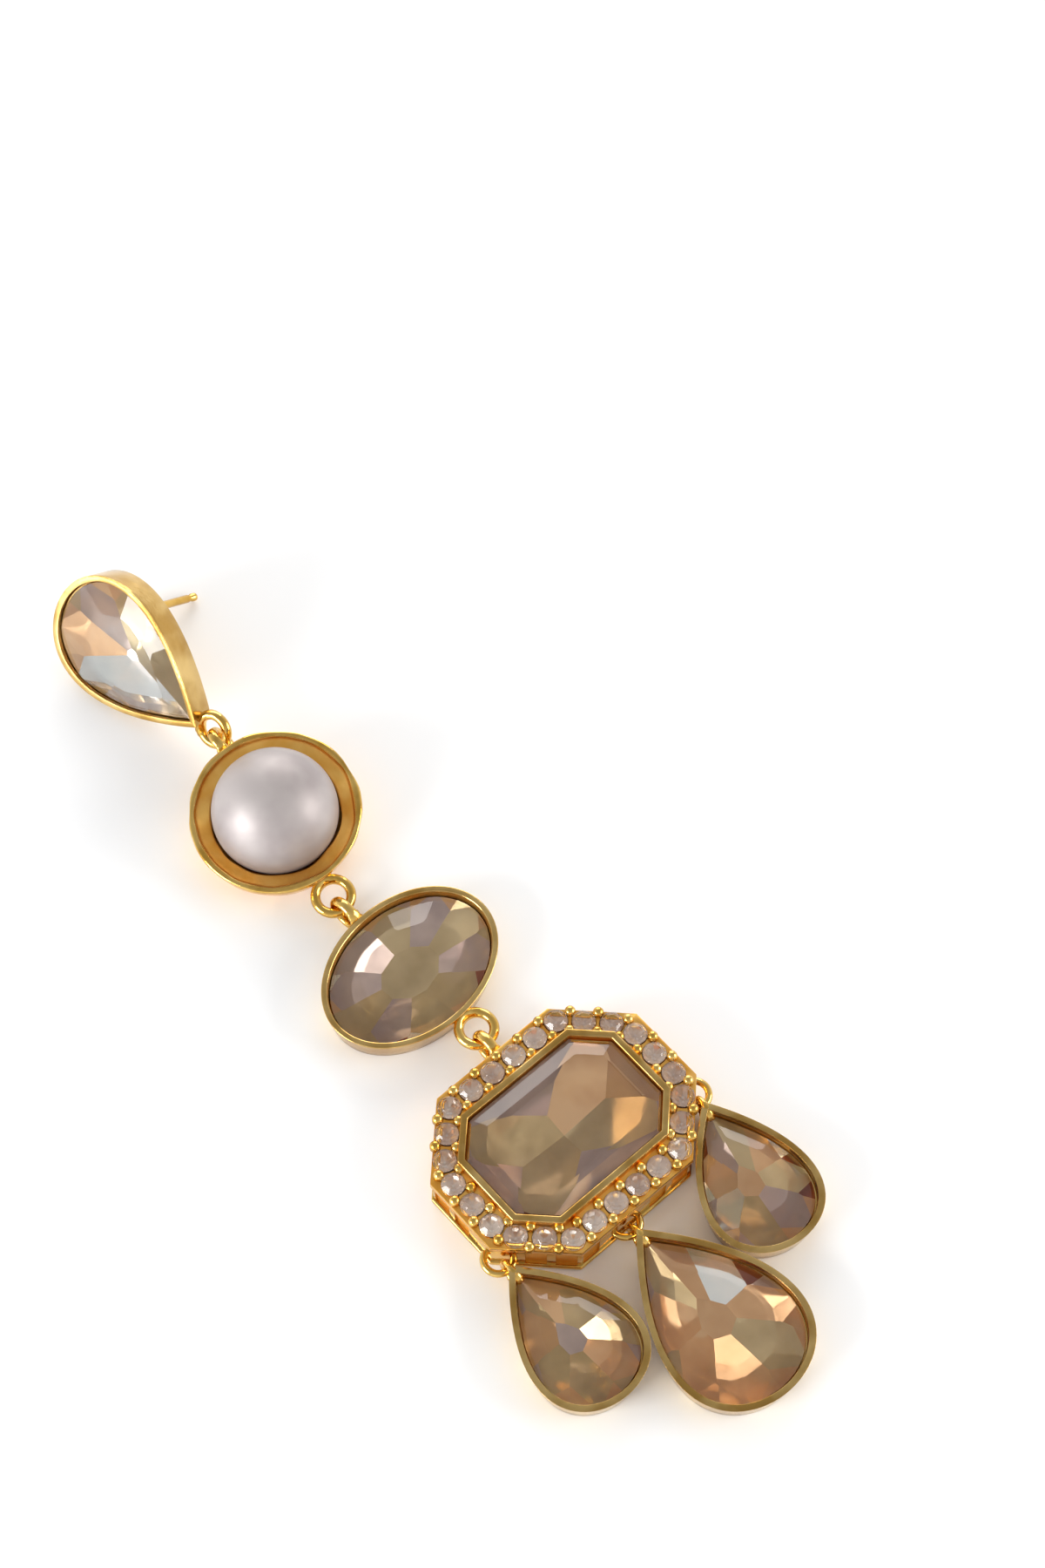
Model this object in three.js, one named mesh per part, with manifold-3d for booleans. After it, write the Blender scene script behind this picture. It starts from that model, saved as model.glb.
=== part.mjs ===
// Chandelier earring lying on a flat surface, millimetres, +Z up.
// The chain runs along Y: the stud is at +Y and leans on its ear post, the three pear drops are at -Y.
// Every setting is soldered gold metal, one solid with its link rings. Stones and pearl are loose solids
// that sit in their cups with a small gap. A flat ring below each setting hooks through an upright loop
// on top of the next one.

import * as THREE from 'three';
import { ConvexGeometry } from 'three/addons/geometries/ConvexGeometry.js';
import { mergeVertices } from 'three/addons/utils/BufferGeometryUtils.js';
import Module from 'manifold-3d';

const wasm = await Module();
wasm.setup();

// Stones, width across the chain and length along it
const octagonWidth = 18;
const octagonLength = 12.5;
const octagonCorner = 2.85;
const ovalWidth = 17.7;
const ovalLength = 12.7;
const studStoneWidth = 12.5;
const studStoneLength = 17.3;
const centreStoneWidth = 12.6;
const centreStoneLength = 18.4;
const sideStoneWidth = 9.8;
const sideStoneLength = 14.2;
const pearlDiameter = 12.5;
const haloStoneDiameter = 2.3;

// Settings
const bezelWall = 0.7;
const stoneGap = 0.15;
const ledgeWidth = 0.25;
const ledgeGap = 0.2;
const edgeStep = 0.01;
const floorThickness = 0.5;
const cupHeight = 3.1;
const cupFlare = 0.55;
const stoneRecess = 0.25;
const studHeight = 3.2;
const studStoneRise = 0.3;

// Cuts: shares of a stone's outline at its keel, pavilion break and tables, and shares of its depths
const crownHeight = 0.7;
const girdleThickness = 0.2;
const octagonCrown = 0.9;
const keelShare = 0.12;
const pavilionBreak = 0.62;
const crownBreak = 0.62;
const crownBulge = 0.03;
const studTable = 0.62;
const deepTable = 0.6;
const octagonTable = 0.76;
const haloStoneTable = 0.58;

// Pearl dish: its wall flares from a small base to a thin upstanding rim
const pearlDishDiameter = 17;
const pearlDishHeight = 3.8;
const pearlRimWall = 0.35;
const pearlRimLip = 0.7;
const pearlRimFlare = 0.2;
const pearlSeatDepth = 2.95;
const pearlSeatWall = 0.6;
const pearlLevel = 3.7;
const pearlCupFlare = 1.5;

// Halo: octagon bezel, plate of small stones, open gallery
const haloBezelHeight = 5.8;
const haloPlateTop = 4.7;
const haloPlateThickness = 0.9;
const haloMargin = 0.37;
const haloStoneCount = 26;
const haloCornerExtra = 0.95;
const galleryWall = 0.8;
const galleryRecess = 0.2;
const railHeight = 0.6;
const windowWidth = 1.8;
const windowSpacing = 2.6;
const beadDiameter = 0.8;
const haloCrownHeight = 0.36;
const haloGirdleLift = 0.16;
const haloGirdleThickness = 0.08;
const haloPavilionDepth = 1;

// Link rings: mean radius of each ring, its wire, and how far its wire sinks into the wall it is soldered
// to. An upright loop's wire is flattened into a band, wider than it is thick by the loop band. Slack is
// the play left in a link. The drops hang close, from half rings of thinner wire, which clear the wall of
// the neighbour by the drop link gap. The side drops lean in, so their gap is wider.
const wireRadius = 0.37;
const loopBand = 1.25;
const haloLoopRadius = 1.6;
const ovalRingRadius = 1.7;
const ovalLoopRadius = 1.6;
const pearlRingRadius = 1.75;
const pearlLoopRadius = 1.4;
const studRingRadius = 1.6;
const dropWireRadius = 0.3;
const dropRingRadius = 1.4;
const dropLoopRadius = 1.25;
const ringSeat = 0.22;
const pearlLoopSeat = 0.45;
const studRingSeat = 0.45;
const linkSlack = 0.3;
const studSlack = 0.75;
const dropSlack = 0.2;
const dropLinkGap = 0.15;
const sideLinkGap = 0.28;
const studLinkDrop = 0.3;
const ringLift = 0.08;

// Ear post
const postDiameter = 0.85;
const postOffset = 4.6;
const postLean = 12;

// How the pieces lie: turns in degrees, and shifts of rings along the wall that carries them
const haloLoopShift = 0.8;
const linkSwing = -12;
const ovalTurn = 4.7;
const pearlTurn = -6.5;
const pearlTilt = 5.4;
const pearlLean = -4.8;
const pearlLoopLean = -17;
const pointDownTurn = 180;
const studTurn = 5.5;
const studTilt = -11;
const studLean = 60.5;
const centreDropTurn = 0;
const centreRingShift = -1.2;
const sideRingInset = 0.7;
const dropGap = 0.2;

// Facets and sides
const cupSides = 32;
const stoneSides = 16;
const ringSides = 14;
const wireSides = 6;
const postSides = 10;
const pearlSides = 24;
const pearlRows = 10;
const haloStoneSides = 8;
const seatSides = 10;

const degrees = THREE.MathUtils.degToRad;

// Finishes
const gold = () => new THREE.MeshStandardMaterial({ color: 0xb8893a, metalness: 1, roughness: 0.25 });
const crystal = () => new THREE.MeshStandardMaterial({ color: 0xae9470, metalness: 0.1, roughness: 0.05 });
const smallCrystal = () => new THREE.MeshStandardMaterial({ color: 0xcfc2b8, roughness: 0.05 });
const nacre = () => new THREE.MeshStandardMaterial({ color: 0xa9a09c, metalness: 0, roughness: 0.3 });

// Outlines: each gives a closed list of points, counter-clockwise, grown outward by a distance.

function ellipseOutline(width, length, sides) {
  return (grow = 0) => Array.from({ length: sides }, (_, i) => {
    const angle = (i / sides) * 2 * Math.PI;
    return new THREE.Vector2(Math.cos(angle) * (width / 2 + grow), Math.sin(angle) * (length / 2 + grow));
  });
}

// Teardrop with its point at +Y. The curve is widest at a fixed share of its cross radius. Growing it
// moves the point further than the sides, as a mitred corner does.
const pearWidest = 4 / (3 * Math.sqrt(3));

function pearOutline(width, length, sides) {
  const mitre = 1 / Math.sin(Math.atan(width / length / pearWidest));
  return (grow = 0) => {
    const across = (width / 2 + grow) / pearWidest;
    const along = length / 2 + (grow * (mitre + 1)) / 2;
    const shift = (grow * (mitre - 1)) / 2;
    return Array.from({ length: sides }, (_, i) => {
      const angle = (i / sides) * 2 * Math.PI;
      const x = -across * Math.sin(angle) * Math.abs(Math.sin(angle / 2));
      return new THREE.Vector2(x, along * Math.cos(angle) + shift);
    });
  };
}

function octagonOutline(width, length, corner) {
  return (grow = 0) => {
    const x = width / 2 + grow;
    const y = length / 2 + grow;
    const cut = corner + grow * (2 - Math.SQRT2);
    return [
      [x, y - cut], [x - cut, y], [cut - x, y], [-x, y - cut],
      [-x, cut - y], [cut - x, -y], [x - cut, -y], [x, cut - y],
    ].map(([px, py]) => new THREE.Vector2(px, py));
  };
}

// Closed solid through level sections, each a list of points and a height, capped at both ends.
function loft(sections) {
  const count = sections[0].points.length;
  const positions = [];
  for (const { points, z } of sections) {
    for (const point of points) positions.push(point.x, point.y, z);
  }
  const indices = [];
  for (let level = 0; level < sections.length - 1; level += 1) {
    for (let i = 0; i < count; i += 1) {
      const next = (i + 1) % count;
      const low = level * count;
      const high = low + count;
      indices.push(low + i, low + next, high + next, low + i, high + next, high + i);
    }
  }
  const top = (sections.length - 1) * count;
  for (const [a, b, c] of THREE.ShapeUtils.triangulateShape(sections[0].points, [])) {
    indices.push(a, c, b);
  }
  for (const [a, b, c] of THREE.ShapeUtils.triangulateShape(sections.at(-1).points, [])) {
    indices.push(top + a, top + b, top + c);
  }
  const geometry = new THREE.BufferGeometry();
  geometry.setAttribute('position', new THREE.Float32BufferAttribute(positions, 3));
  geometry.setIndex(indices);
  return geometry;
}

function toSolid(geometry) {
  const bare = geometry.clone();
  bare.deleteAttribute('normal');
  bare.deleteAttribute('uv');
  const merged = mergeVertices(bare);
  return new wasm.Manifold(new wasm.Mesh({
    numProp: 3,
    vertProperties: new Float32Array(merged.attributes.position.array),
    triVerts: new Uint32Array(merged.index.array),
  }));
}

function toGeometry(solid) {
  const { vertProperties, triVerts } = solid.getMesh();
  const geometry = new THREE.BufferGeometry();
  geometry.setAttribute('position', new THREE.BufferAttribute(vertProperties, 3));
  geometry.setIndex(new THREE.BufferAttribute(triVerts, 1));
  geometry.computeVertexNormals();
  return geometry;
}

function piece(name, geometry, material) {
  const mesh = new THREE.Mesh(geometry, material);
  mesh.name = name;
  return mesh;
}

// Distance along the chain from a setting's middle to its outer wall, on the side of its point.
const wallReach = (outline, grow) => Math.max(...outline(grow).map((point) => point.y));

// Ring lying flat, or standing upright along the chain and leaning about it.
function ringSolid({ radius, wire = wireRadius, x = 0, y, z, upright = false, lean = 0, band = 1 }) {
  const ring = new THREE.TorusGeometry(radius, wire, wireSides, ringSides);
  ring.scale(1, 1, band);
  if (upright) ring.rotateY(Math.PI / 2).rotateY(degrees(lean));
  return toSolid(ring.translate(x, y, z));
}

// Distance between the centres of two hooked rings, taut but for the slack.
function linkReach(ringRadius, loopRadius, slack, wire = wireRadius) {
  return ringRadius + loopRadius - 2 * wire - slack;
}

// Distance from a wall to the centre of a ring that is soldered to it, and height of an upright loop.
const ringStand = (radius, seat = ringSeat) => radius + wireRadius - seat;
const linkHeight = (loopRadius, wire = wireRadius) => loopRadius + wire + ringLift;

// Way that a setting lies: raised at its upper end, leaning sideways and turned on the surface.
const lieOf = (tilt, lean, turn) => new THREE.Euler(degrees(tilt), degrees(lean), degrees(turn), 'ZXY');

// Height of a shape's lowest point once it is turned.
function lowestPoint(geometry, lie) {
  const turned = geometry.clone().applyMatrix4(new THREE.Matrix4().makeRotationFromEuler(lie));
  return new THREE.Box3().setFromBufferAttribute(turned.attributes.position).min.z;
}

// Bezel cup: a tapered wall with a floor, a ledge under the stone's girdle, and its rings soldered on.
function bezelCup({ outline, height, flare, girdleLevel, rings }) {
  const outer = toSolid(loft([
    { points: outline(bezelWall - flare), z: 0 },
    { points: outline(bezelWall), z: height },
  ]));
  const ledge = girdleLevel - ledgeGap;
  const cavity = toSolid(loft([
    { points: outline(-ledgeWidth), z: floorThickness },
    { points: outline(-ledgeWidth), z: ledge },
    { points: outline(0), z: ledge + edgeStep },
    { points: outline(0), z: height + 1 },
  ]));
  return rings.reduce((solid, ring) => solid.add(ring), outer).subtract(cavity);
}

// Cut stone: keel, pavilion break, girdle, crown break and table, all following one outline.
function cutStone(outline, { girdleLevel, crown, pavilion, tableShare }) {
  const share = (factor) => outline(0).map((point) => point.clone().multiplyScalar(factor));
  const crownLevel = girdleLevel + girdleThickness;
  return loft([
    { points: share(keelShare), z: girdleLevel - pavilion },
    { points: share(pavilionBreak), z: girdleLevel - pavilion * pavilionBreak },
    { points: share(1), z: girdleLevel },
    { points: share(1), z: crownLevel },
    { points: share((1 + tableShare) / 2 + crownBulge), z: crownLevel + crown * crownBreak },
    { points: share(tableShare), z: crownLevel + crown },
  ]);
}

// Stud: pear cup, point down the chain, with the ear post on its back

const opening = (size) => size + 2 * stoneGap;
const studOutline = pearOutline(opening(studStoneWidth), opening(studStoneLength), cupSides);
const studGirdle = studHeight + studStoneRise - crownHeight - girdleThickness;
const studRingLevel = studHeight / 2;
const studFlareAtRing = cupFlare * (1 - studRingLevel / studHeight);
const studRingWall = wallReach(studOutline, bezelWall - studFlareAtRing);
const studRingY = studRingWall + ringStand(studRingRadius, studRingSeat);

const studLie = lieOf(studTilt, studLean, pointDownTurn + studTurn);
const studCup = bezelCup({
  outline: studOutline,
  height: studHeight,
  flare: cupFlare,
  girdleLevel: studGirdle,
  rings: [ringSolid({ radius: studRingRadius, y: studRingY, z: studRingLevel })],
});
const studLowest = lowestPoint(toGeometry(studCup), studLie);
const postHeading = new THREE.Vector3(0, Math.sin(degrees(postLean)), -Math.cos(degrees(postLean)));
const postFall = -postHeading.applyEuler(studLie).z;
const postDip = (postDiameter / 2) * Math.sqrt(1 - postFall ** 2);
const postFoot = new THREE.Vector3(0, -postOffset, 0).applyEuler(studLie).z;
const postLength = (postFoot - studLowest - postDip) / postFall;

function studSettingGeometry() {
  const rooted = floorThickness / 2;
  const post = new THREE.CylinderGeometry(postDiameter / 2, postDiameter / 2, postLength + rooted, postSides)
    .rotateX(Math.PI / 2)
    .translate(0, 0, (rooted - postLength) / 2)
    .rotateX(degrees(postLean))
    .translate(0, -postOffset, 0);
  return toGeometry(studCup.add(toSolid(post)));
}

function studStoneGeometry() {
  return cutStone(pearOutline(studStoneWidth, studStoneLength, stoneSides), {
    girdleLevel: studGirdle,
    crown: crownHeight,
    pavilion: studGirdle - floorThickness - ledgeGap,
    tableShare: studTable,
  });
}

// Pearl in its dish, which the stud's ring holds up at its upper end

const pearlOutline = ellipseOutline(pearlDishDiameter, pearlDishDiameter, cupSides);
const pearlNarrowingAt = (z) => pearlCupFlare * (1 - Math.min(z / pearlDishHeight, 1)) ** 2;
const pearlRingHeight = linkHeight(ovalLoopRadius);
const pearlRingY = -wallReach(pearlOutline, -pearlNarrowingAt(pearlRingHeight)) - ringStand(pearlRingRadius);
const pearlLoopY = wallReach(pearlOutline, 0) + ringStand(pearlLoopRadius, pearlLoopSeat);
const pearlLie = lieOf(pearlTilt, pearlLean, pearlTurn);
const pearlDishLevels = [0, 0.25, 0.5, 0.75, 1].map((share) => share * pearlDishHeight);
const pearlDish = loft(pearlDishLevels.map((z) => ({ points: pearlOutline(-pearlNarrowingAt(z)), z })));
const pearlLowest = lowestPoint(pearlDish, pearlLie);

// Level of the pearl's loop on its dish that brings the loop's middle just below the stud's ring.
const studRing = new THREE.Vector3(0, studRingY, studRingLevel).applyEuler(studLie);
const pearlLoopHeight = studRing.z - studLowest - studLinkDrop + pearlLowest;
const pearlUp = new THREE.Vector3(0, 0, 1).applyEuler(pearlLie);
const pearlLoopRise = new THREE.Vector3(0, pearlLoopY, 0).applyEuler(pearlLie).z;
const pearlLoopLevel = (pearlLoopHeight - pearlLoopRise) / pearlUp.z;

function pearlSettingGeometry() {
  const seatGrow = (pearlDiameter - pearlDishDiameter) / 2 + stoneGap;
  const cavity = toSolid(loft([
    { points: pearlOutline(seatGrow), z: floorThickness },
    { points: pearlOutline(seatGrow), z: pearlLevel - pearlSeatDepth + pearlSeatWall },
    { points: pearlOutline(-pearlRimWall - pearlRimFlare), z: pearlDishHeight - pearlRimLip },
    { points: pearlOutline(-pearlRimWall), z: pearlDishHeight + pearlRimLip },
  ]));
  const ring = ringSolid({ radius: pearlRingRadius, y: pearlRingY, z: pearlRingHeight });
  const loop = ringSolid({
    radius: pearlLoopRadius,
    y: pearlLoopY,
    z: pearlLoopLevel,
    upright: true,
    lean: pearlLoopLean,
    band: loopBand,
  });
  return toGeometry(wasm.Manifold.union([toSolid(pearlDish), ring, loop]).subtract(cavity));
}

// Round pearl, flat underneath where it is glued into the dish.
function pearlGeometry() {
  const radius = pearlDiameter / 2;
  const start = -Math.asin(pearlSeatDepth / radius);
  const profile = [new THREE.Vector2(0, -pearlSeatDepth)];
  for (let i = 0; i <= pearlRows; i += 1) {
    const angle = start + ((Math.PI / 2 - start) * i) / pearlRows;
    profile.push(new THREE.Vector2(i === pearlRows ? 0 : radius * Math.cos(angle), radius * Math.sin(angle)));
  }
  return new THREE.LatheGeometry(profile, pearlSides).rotateX(Math.PI / 2).translate(0, 0, pearlLevel);
}

// Oval, long axis across the chain

const ovalOutline = ellipseOutline(opening(ovalWidth), opening(ovalLength), cupSides);
const deepGirdle = cupHeight - stoneRecess - crownHeight - girdleThickness;
const deepStone = {
  girdleLevel: deepGirdle,
  crown: crownHeight,
  pavilion: deepGirdle - floorThickness - ledgeGap,
  tableShare: deepTable,
};
const cupGrowAt = (z) => bezelWall - cupFlare * (1 - Math.min(z / cupHeight, 1));

function ovalSettingGeometry() {
  const ringHeight = linkHeight(haloLoopRadius);
  const loopHeight = linkHeight(ovalLoopRadius);
  const ringY = -(wallReach(ovalOutline, cupGrowAt(ringHeight)) + ringStand(ovalRingRadius));
  const loopY = wallReach(ovalOutline, cupGrowAt(loopHeight)) + ringStand(ovalLoopRadius);
  const cup = bezelCup({
    outline: ovalOutline,
    height: cupHeight,
    flare: cupFlare,
    girdleLevel: deepGirdle,
    rings: [
      ringSolid({ radius: ovalRingRadius, y: ringY, z: ringHeight }),
      ringSolid({ radius: ovalLoopRadius, y: loopY, z: loopHeight, upright: true, band: loopBand }),
    ],
  });
  return { geometry: toGeometry(cup), ringY, loopY };
}

// Halo: the octagon in its raised bezel, ringed by small stones over an open gallery

const octagonHole = octagonOutline(opening(octagonWidth), opening(octagonLength), octagonCorner);
const haloBand = haloStoneDiameter + 2 * haloMargin;
const haloOutline = (grow = 0) => octagonOutline(
  opening(octagonWidth) + 2 * (bezelWall + haloBand),
  opening(octagonLength) + 2 * (bezelWall + haloBand),
  octagonCorner + (bezelWall + haloBand) * (2 - Math.SQRT2) + haloCornerExtra,
)(grow);
const haloRail = haloOutline(0);
const stonePath = octagonOutline(
  opening(octagonWidth) + 2 * bezelWall + haloBand,
  opening(octagonLength) + 2 * bezelWall + haloBand,
  octagonCorner + (bezelWall + haloBand / 2) * (2 - Math.SQRT2) + haloCornerExtra / 2,
)(0);

// Walks a closed outline from the middle of its upper side and gives the point and heading at a distance.
function pathWalker(points) {
  const corners = [...points.slice(2), ...points.slice(0, 2)];
  const start = new THREE.Vector2(0, corners[0].y);
  const stops = [start, ...corners, start];
  const lengths = stops.slice(1).map((stop, i) => stop.distanceTo(stops[i]));
  const total = lengths.reduce((sum, length) => sum + length, 0);
  const at = (distance) => {
    let left = distance;
    let leg = 0;
    while (left > lengths[leg]) {
      left -= lengths[leg];
      leg += 1;
    }
    const heading = stops[leg + 1].clone().sub(stops[leg]).normalize();
    return { point: stops[leg].clone().addScaledVector(heading, left), heading };
  };
  return { total, at };
}

const stoneWalk = pathWalker(stonePath);
const haloPitch = stoneWalk.total / haloStoneCount;
const haloPlaces = Array.from(
  { length: haloStoneCount },
  (_, i) => stoneWalk.at((i + 0.5) * haloPitch).point,
);

// Two beads stand between neighbouring stones, one at each edge of the plate.
const beadPlaces = haloPlaces.flatMap((stone, i) => {
  const next = haloPlaces[(i + 1) % haloStoneCount];
  const offset = (haloBand - beadDiameter) / 2;
  const heading = next.clone().sub(stone).normalize();
  const middle = stone.clone().add(next).divideScalar(2);
  const across = new THREE.Vector2(-heading.y, heading.x);
  return [-1, 1].map((side) => across.clone().multiplyScalar(offset * side).add(middle));
});

// Links of the drops. Each ring's centre stands off its wall just far enough for the other ring, which
// may be a little inside the wall, so that only part of a ring shows. The side rings are on slanted walls
// while their drops hang straight down.
const dropReach = linkReach(dropRingRadius, dropLoopRadius, dropSlack, dropWireRadius);
const dropRingStand = dropLoopRadius + dropWireRadius + dropLinkGap - dropReach;
const dropLoopStand = dropRingRadius + dropWireRadius + dropLinkGap - dropReach;
const dropRingHeight = linkHeight(dropLoopRadius, dropWireRadius);
const sideRingStand = dropWireRadius + sideLinkGap - (dropReach - dropLoopRadius) * Math.SQRT1_2;

// Rings of the halo: one below its middle, one on each lower corner, and the upright loop on top, all on
// the gallery wall.
const galleryOutline = haloOutline(-galleryRecess);
const galleryTop = galleryOutline[1].y;
const centreRingPlace = new THREE.Vector2(centreRingShift, -galleryTop - dropRingStand);
const cornerStart = galleryOutline[7];
const cornerHeading = galleryOutline[6].clone().sub(cornerStart).normalize();
const rightRingPlace = cornerStart.clone()
  .addScaledVector(cornerHeading, sideRingInset)
  .add(new THREE.Vector2(-cornerHeading.y, cornerHeading.x).multiplyScalar(sideRingStand));
const leftRingPlace = new THREE.Vector2(-rightRingPlace.x, rightRingPlace.y);
const haloLoopPlace = new THREE.Vector2(haloLoopShift, galleryTop + ringStand(haloLoopRadius));

function windowSolids() {
  const rings = [centreRingPlace, rightRingPlace, leftRingPlace, haloLoopPlace];
  const ringClearance = dropRingRadius + wireRadius + windowWidth / 2;
  const height = haloPlateTop - haloPlateThickness - railHeight;
  const solids = [];
  haloRail.forEach((corner, i) => {
    const next = haloRail[(i + 1) % haloRail.length];
    const side = next.clone().sub(corner);
    const count = Math.max(1, Math.floor(side.length() / windowSpacing));
    for (let k = 0; k < count; k += 1) {
      const middle = corner.clone().addScaledVector(side, (k + 0.5) / count);
      const clear = rings.every((ring) => ring.distanceTo(middle) > ringClearance);
      if (clear) {
        const box = new THREE.BoxGeometry(windowWidth, galleryWall * 4, height)
          .rotateZ(side.angle())
          .translate(middle.x, middle.y, railHeight + height / 2);
        solids.push(toSolid(box));
      }
    }
  });
  return solids;
}

function haloFrameGeometry() {
  const outer = toSolid(loft([
    { points: haloOutline(0), z: 0 },
    { points: haloOutline(0), z: railHeight },
    { points: galleryOutline, z: railHeight + edgeStep },
    { points: galleryOutline, z: haloPlateTop - railHeight - edgeStep },
    { points: haloOutline(0), z: haloPlateTop - railHeight },
    { points: haloOutline(0), z: haloPlateTop },
  ]));
  const underside = haloPlateTop - haloPlateThickness;
  const hollow = toSolid(loft([
    { points: haloOutline(-galleryWall), z: -1 },
    { points: haloOutline(-galleryWall), z: underside },
  ]));
  const bezel = toSolid(loft([
    { points: octagonHole(bezelWall), z: 0 },
    { points: octagonHole(bezelWall), z: haloBezelHeight },
  ]));
  const cavity = toSolid(loft([
    { points: octagonHole(-ledgeWidth), z: floorThickness },
    { points: octagonHole(-ledgeWidth), z: octagonGirdle - ledgeGap },
    { points: octagonHole(0), z: octagonGirdle - ledgeGap + edgeStep },
    { points: octagonHole(0), z: haloBezelHeight + 1 },
  ]));
  const seatRadius = haloStoneDiameter / 2;
  const seats = haloPlaces.map(({ x, y }) => toSolid(
    new THREE.CylinderGeometry(seatRadius, seatRadius, haloPlateThickness * 2, seatSides)
      .rotateX(Math.PI / 2)
      .translate(x, y, haloPlateTop),
  ));
  const beads = beadPlaces.map(({ x, y }) => toSolid(
    new THREE.IcosahedronGeometry(beadDiameter / 2).translate(x, y, haloPlateTop + beadDiameter / 4),
  ));
  const rings = [
    ...[centreRingPlace, rightRingPlace, leftRingPlace].map(({ x, y }) => ringSolid({
      radius: dropRingRadius, wire: dropWireRadius, x, y, z: dropRingHeight,
    })),
    ringSolid({
      radius: haloLoopRadius,
      x: haloLoopPlace.x,
      y: haloLoopPlace.y,
      z: linkHeight(haloLoopRadius),
      upright: true,
      band: loopBand,
    }),
  ];
  const shell = wasm.Manifold.union([outer, ...rings])
    .subtract(hollow)
    .subtract(wasm.Manifold.union(windowSolids()))
    .subtract(wasm.Manifold.union(seats))
    .add(bezel);
  return toGeometry(wasm.Manifold.union([shell, ...beads]).subtract(cavity));
}

const octagonGirdle = haloBezelHeight - octagonCrown - girdleThickness;

function octagonStoneGeometry() {
  return cutStone(octagonOutline(octagonWidth, octagonLength, octagonCorner), {
    girdleLevel: octagonGirdle,
    crown: octagonCrown,
    pavilion: octagonGirdle - floorThickness - ledgeGap,
    tableShare: octagonTable,
  });
}

// Round brilliant: an eight-sided table, a turned girdle and a point below.
function haloStoneGeometry() {
  const radius = haloStoneDiameter / 2;
  const corners = [];
  for (let i = 0; i < haloStoneSides; i += 1) {
    const girdleAngle = ((i + 0.5) / haloStoneSides) * 2 * Math.PI;
    const tableAngle = (i / haloStoneSides) * 2 * Math.PI;
    for (const z of [haloGirdleLift, haloGirdleLift + haloGirdleThickness]) {
      corners.push(new THREE.Vector3(radius * Math.cos(girdleAngle), radius * Math.sin(girdleAngle), z));
    }
    corners.push(new THREE.Vector3(
      radius * haloStoneTable * Math.cos(tableAngle),
      radius * haloStoneTable * Math.sin(tableAngle),
      haloGirdleLift + haloGirdleThickness + haloCrownHeight,
    ));
  }
  corners.push(new THREE.Vector3(0, 0, haloGirdleLift - haloPavilionDepth));
  return new ConvexGeometry(corners);
}

// Drops

function dropDesign(stoneWidth, stoneLength) {
  const outline = pearOutline(opening(stoneWidth), opening(stoneLength), cupSides);
  const loopY = wallReach(outline, cupGrowAt(dropRingHeight)) + dropLoopStand;
  const cup = bezelCup({
    outline,
    height: cupHeight,
    flare: cupFlare,
    girdleLevel: deepGirdle,
    rings: [ringSolid({
      radius: dropLoopRadius, wire: dropWireRadius, y: loopY, z: dropRingHeight, upright: true,
    })],
  });
  const stone = cutStone(pearOutline(stoneWidth, stoneLength, stoneSides), deepStone);
  return { outline, loopY, cup: toGeometry(cup), stone };
}

// A drop hangs from its ring: its loop's middle lies the link's reach below the ring, along its own axis.
function dropPlace(design, ring, turn) {
  const hang = design.loopY + dropReach;
  return new THREE.Vector2(ring.x + Math.sin(turn) * hang, ring.y - Math.cos(turn) * hang);
}

function rimPoints(design, ring, turn) {
  const middle = dropPlace(design, ring, turn);
  const centre = new THREE.Vector2();
  return design.outline(bezelWall).map((point) => point.clone().rotateAround(centre, turn).add(middle));
}

// Smallest distance between two closed outlines, negative where one reaches into the other.
function outlineGap(first, second) {
  let gap = Infinity;
  const edgeGap = (point, a, b) => {
    const edge = b.clone().sub(a);
    const share = THREE.MathUtils.clamp(point.clone().sub(a).dot(edge) / edge.lengthSq(), 0, 1);
    return point.distanceTo(a.clone().addScaledVector(edge, share));
  };
  const inside = (point, polygon) => polygon.every((a, i) => {
    const b = polygon[(i + 1) % polygon.length];
    return (b.x - a.x) * (point.y - a.y) - (b.y - a.y) * (point.x - a.x) > 0;
  });
  for (const [points, polygon] of [[first, second], [second, first]]) {
    for (const point of points) {
      if (inside(point, polygon)) return -1;
      polygon.forEach((a, i) => {
        gap = Math.min(gap, edgeGap(point, a, polygon[(i + 1) % polygon.length]));
      });
    }
  }
  return gap;
}

const sideDrop = dropDesign(sideStoneWidth, sideStoneLength);
const centreDrop = dropDesign(centreStoneWidth, centreStoneLength);

// A side drop leans in on the centre one until only the drop gap is left between their rims.
function sideTurn(ring, side) {
  const centreRim = rimPoints(centreDrop, centreRingPlace, degrees(centreDropTurn));
  let open = degrees(60) * side;
  let closed = degrees(-60) * side;
  for (let step = 0; step < 40; step += 1) {
    const middle = (open + closed) / 2;
    const clear = outlineGap(rimPoints(sideDrop, ring, middle), centreRim) > dropGap;
    if (clear) open = middle;
    else closed = middle;
  }
  return open;
}

// Assembly: each piece is placed in a group of its own and brings its stone with it

const earring = new THREE.Group();

function placed(x, y, z, lie, ...meshes) {
  const group = new THREE.Group();
  group.position.set(x, y, z);
  group.rotation.copy(lie);
  group.add(...meshes);
  earring.add(group);
}

const flat = lieOf(0, 0, 0);
placed(
  0, 0, 0, flat,
  piece('halo_frame', haloFrameGeometry(), gold()),
  piece('octagon_stone', octagonStoneGeometry(), crystal()),
);
haloPlaces.forEach((place, i) => {
  const name = `halo_stone_${String(i + 1).padStart(2, '0')}`;
  placed(place.x, place.y, haloPlateTop, flat, piece(name, haloStoneGeometry(), smallCrystal()));
});

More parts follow.
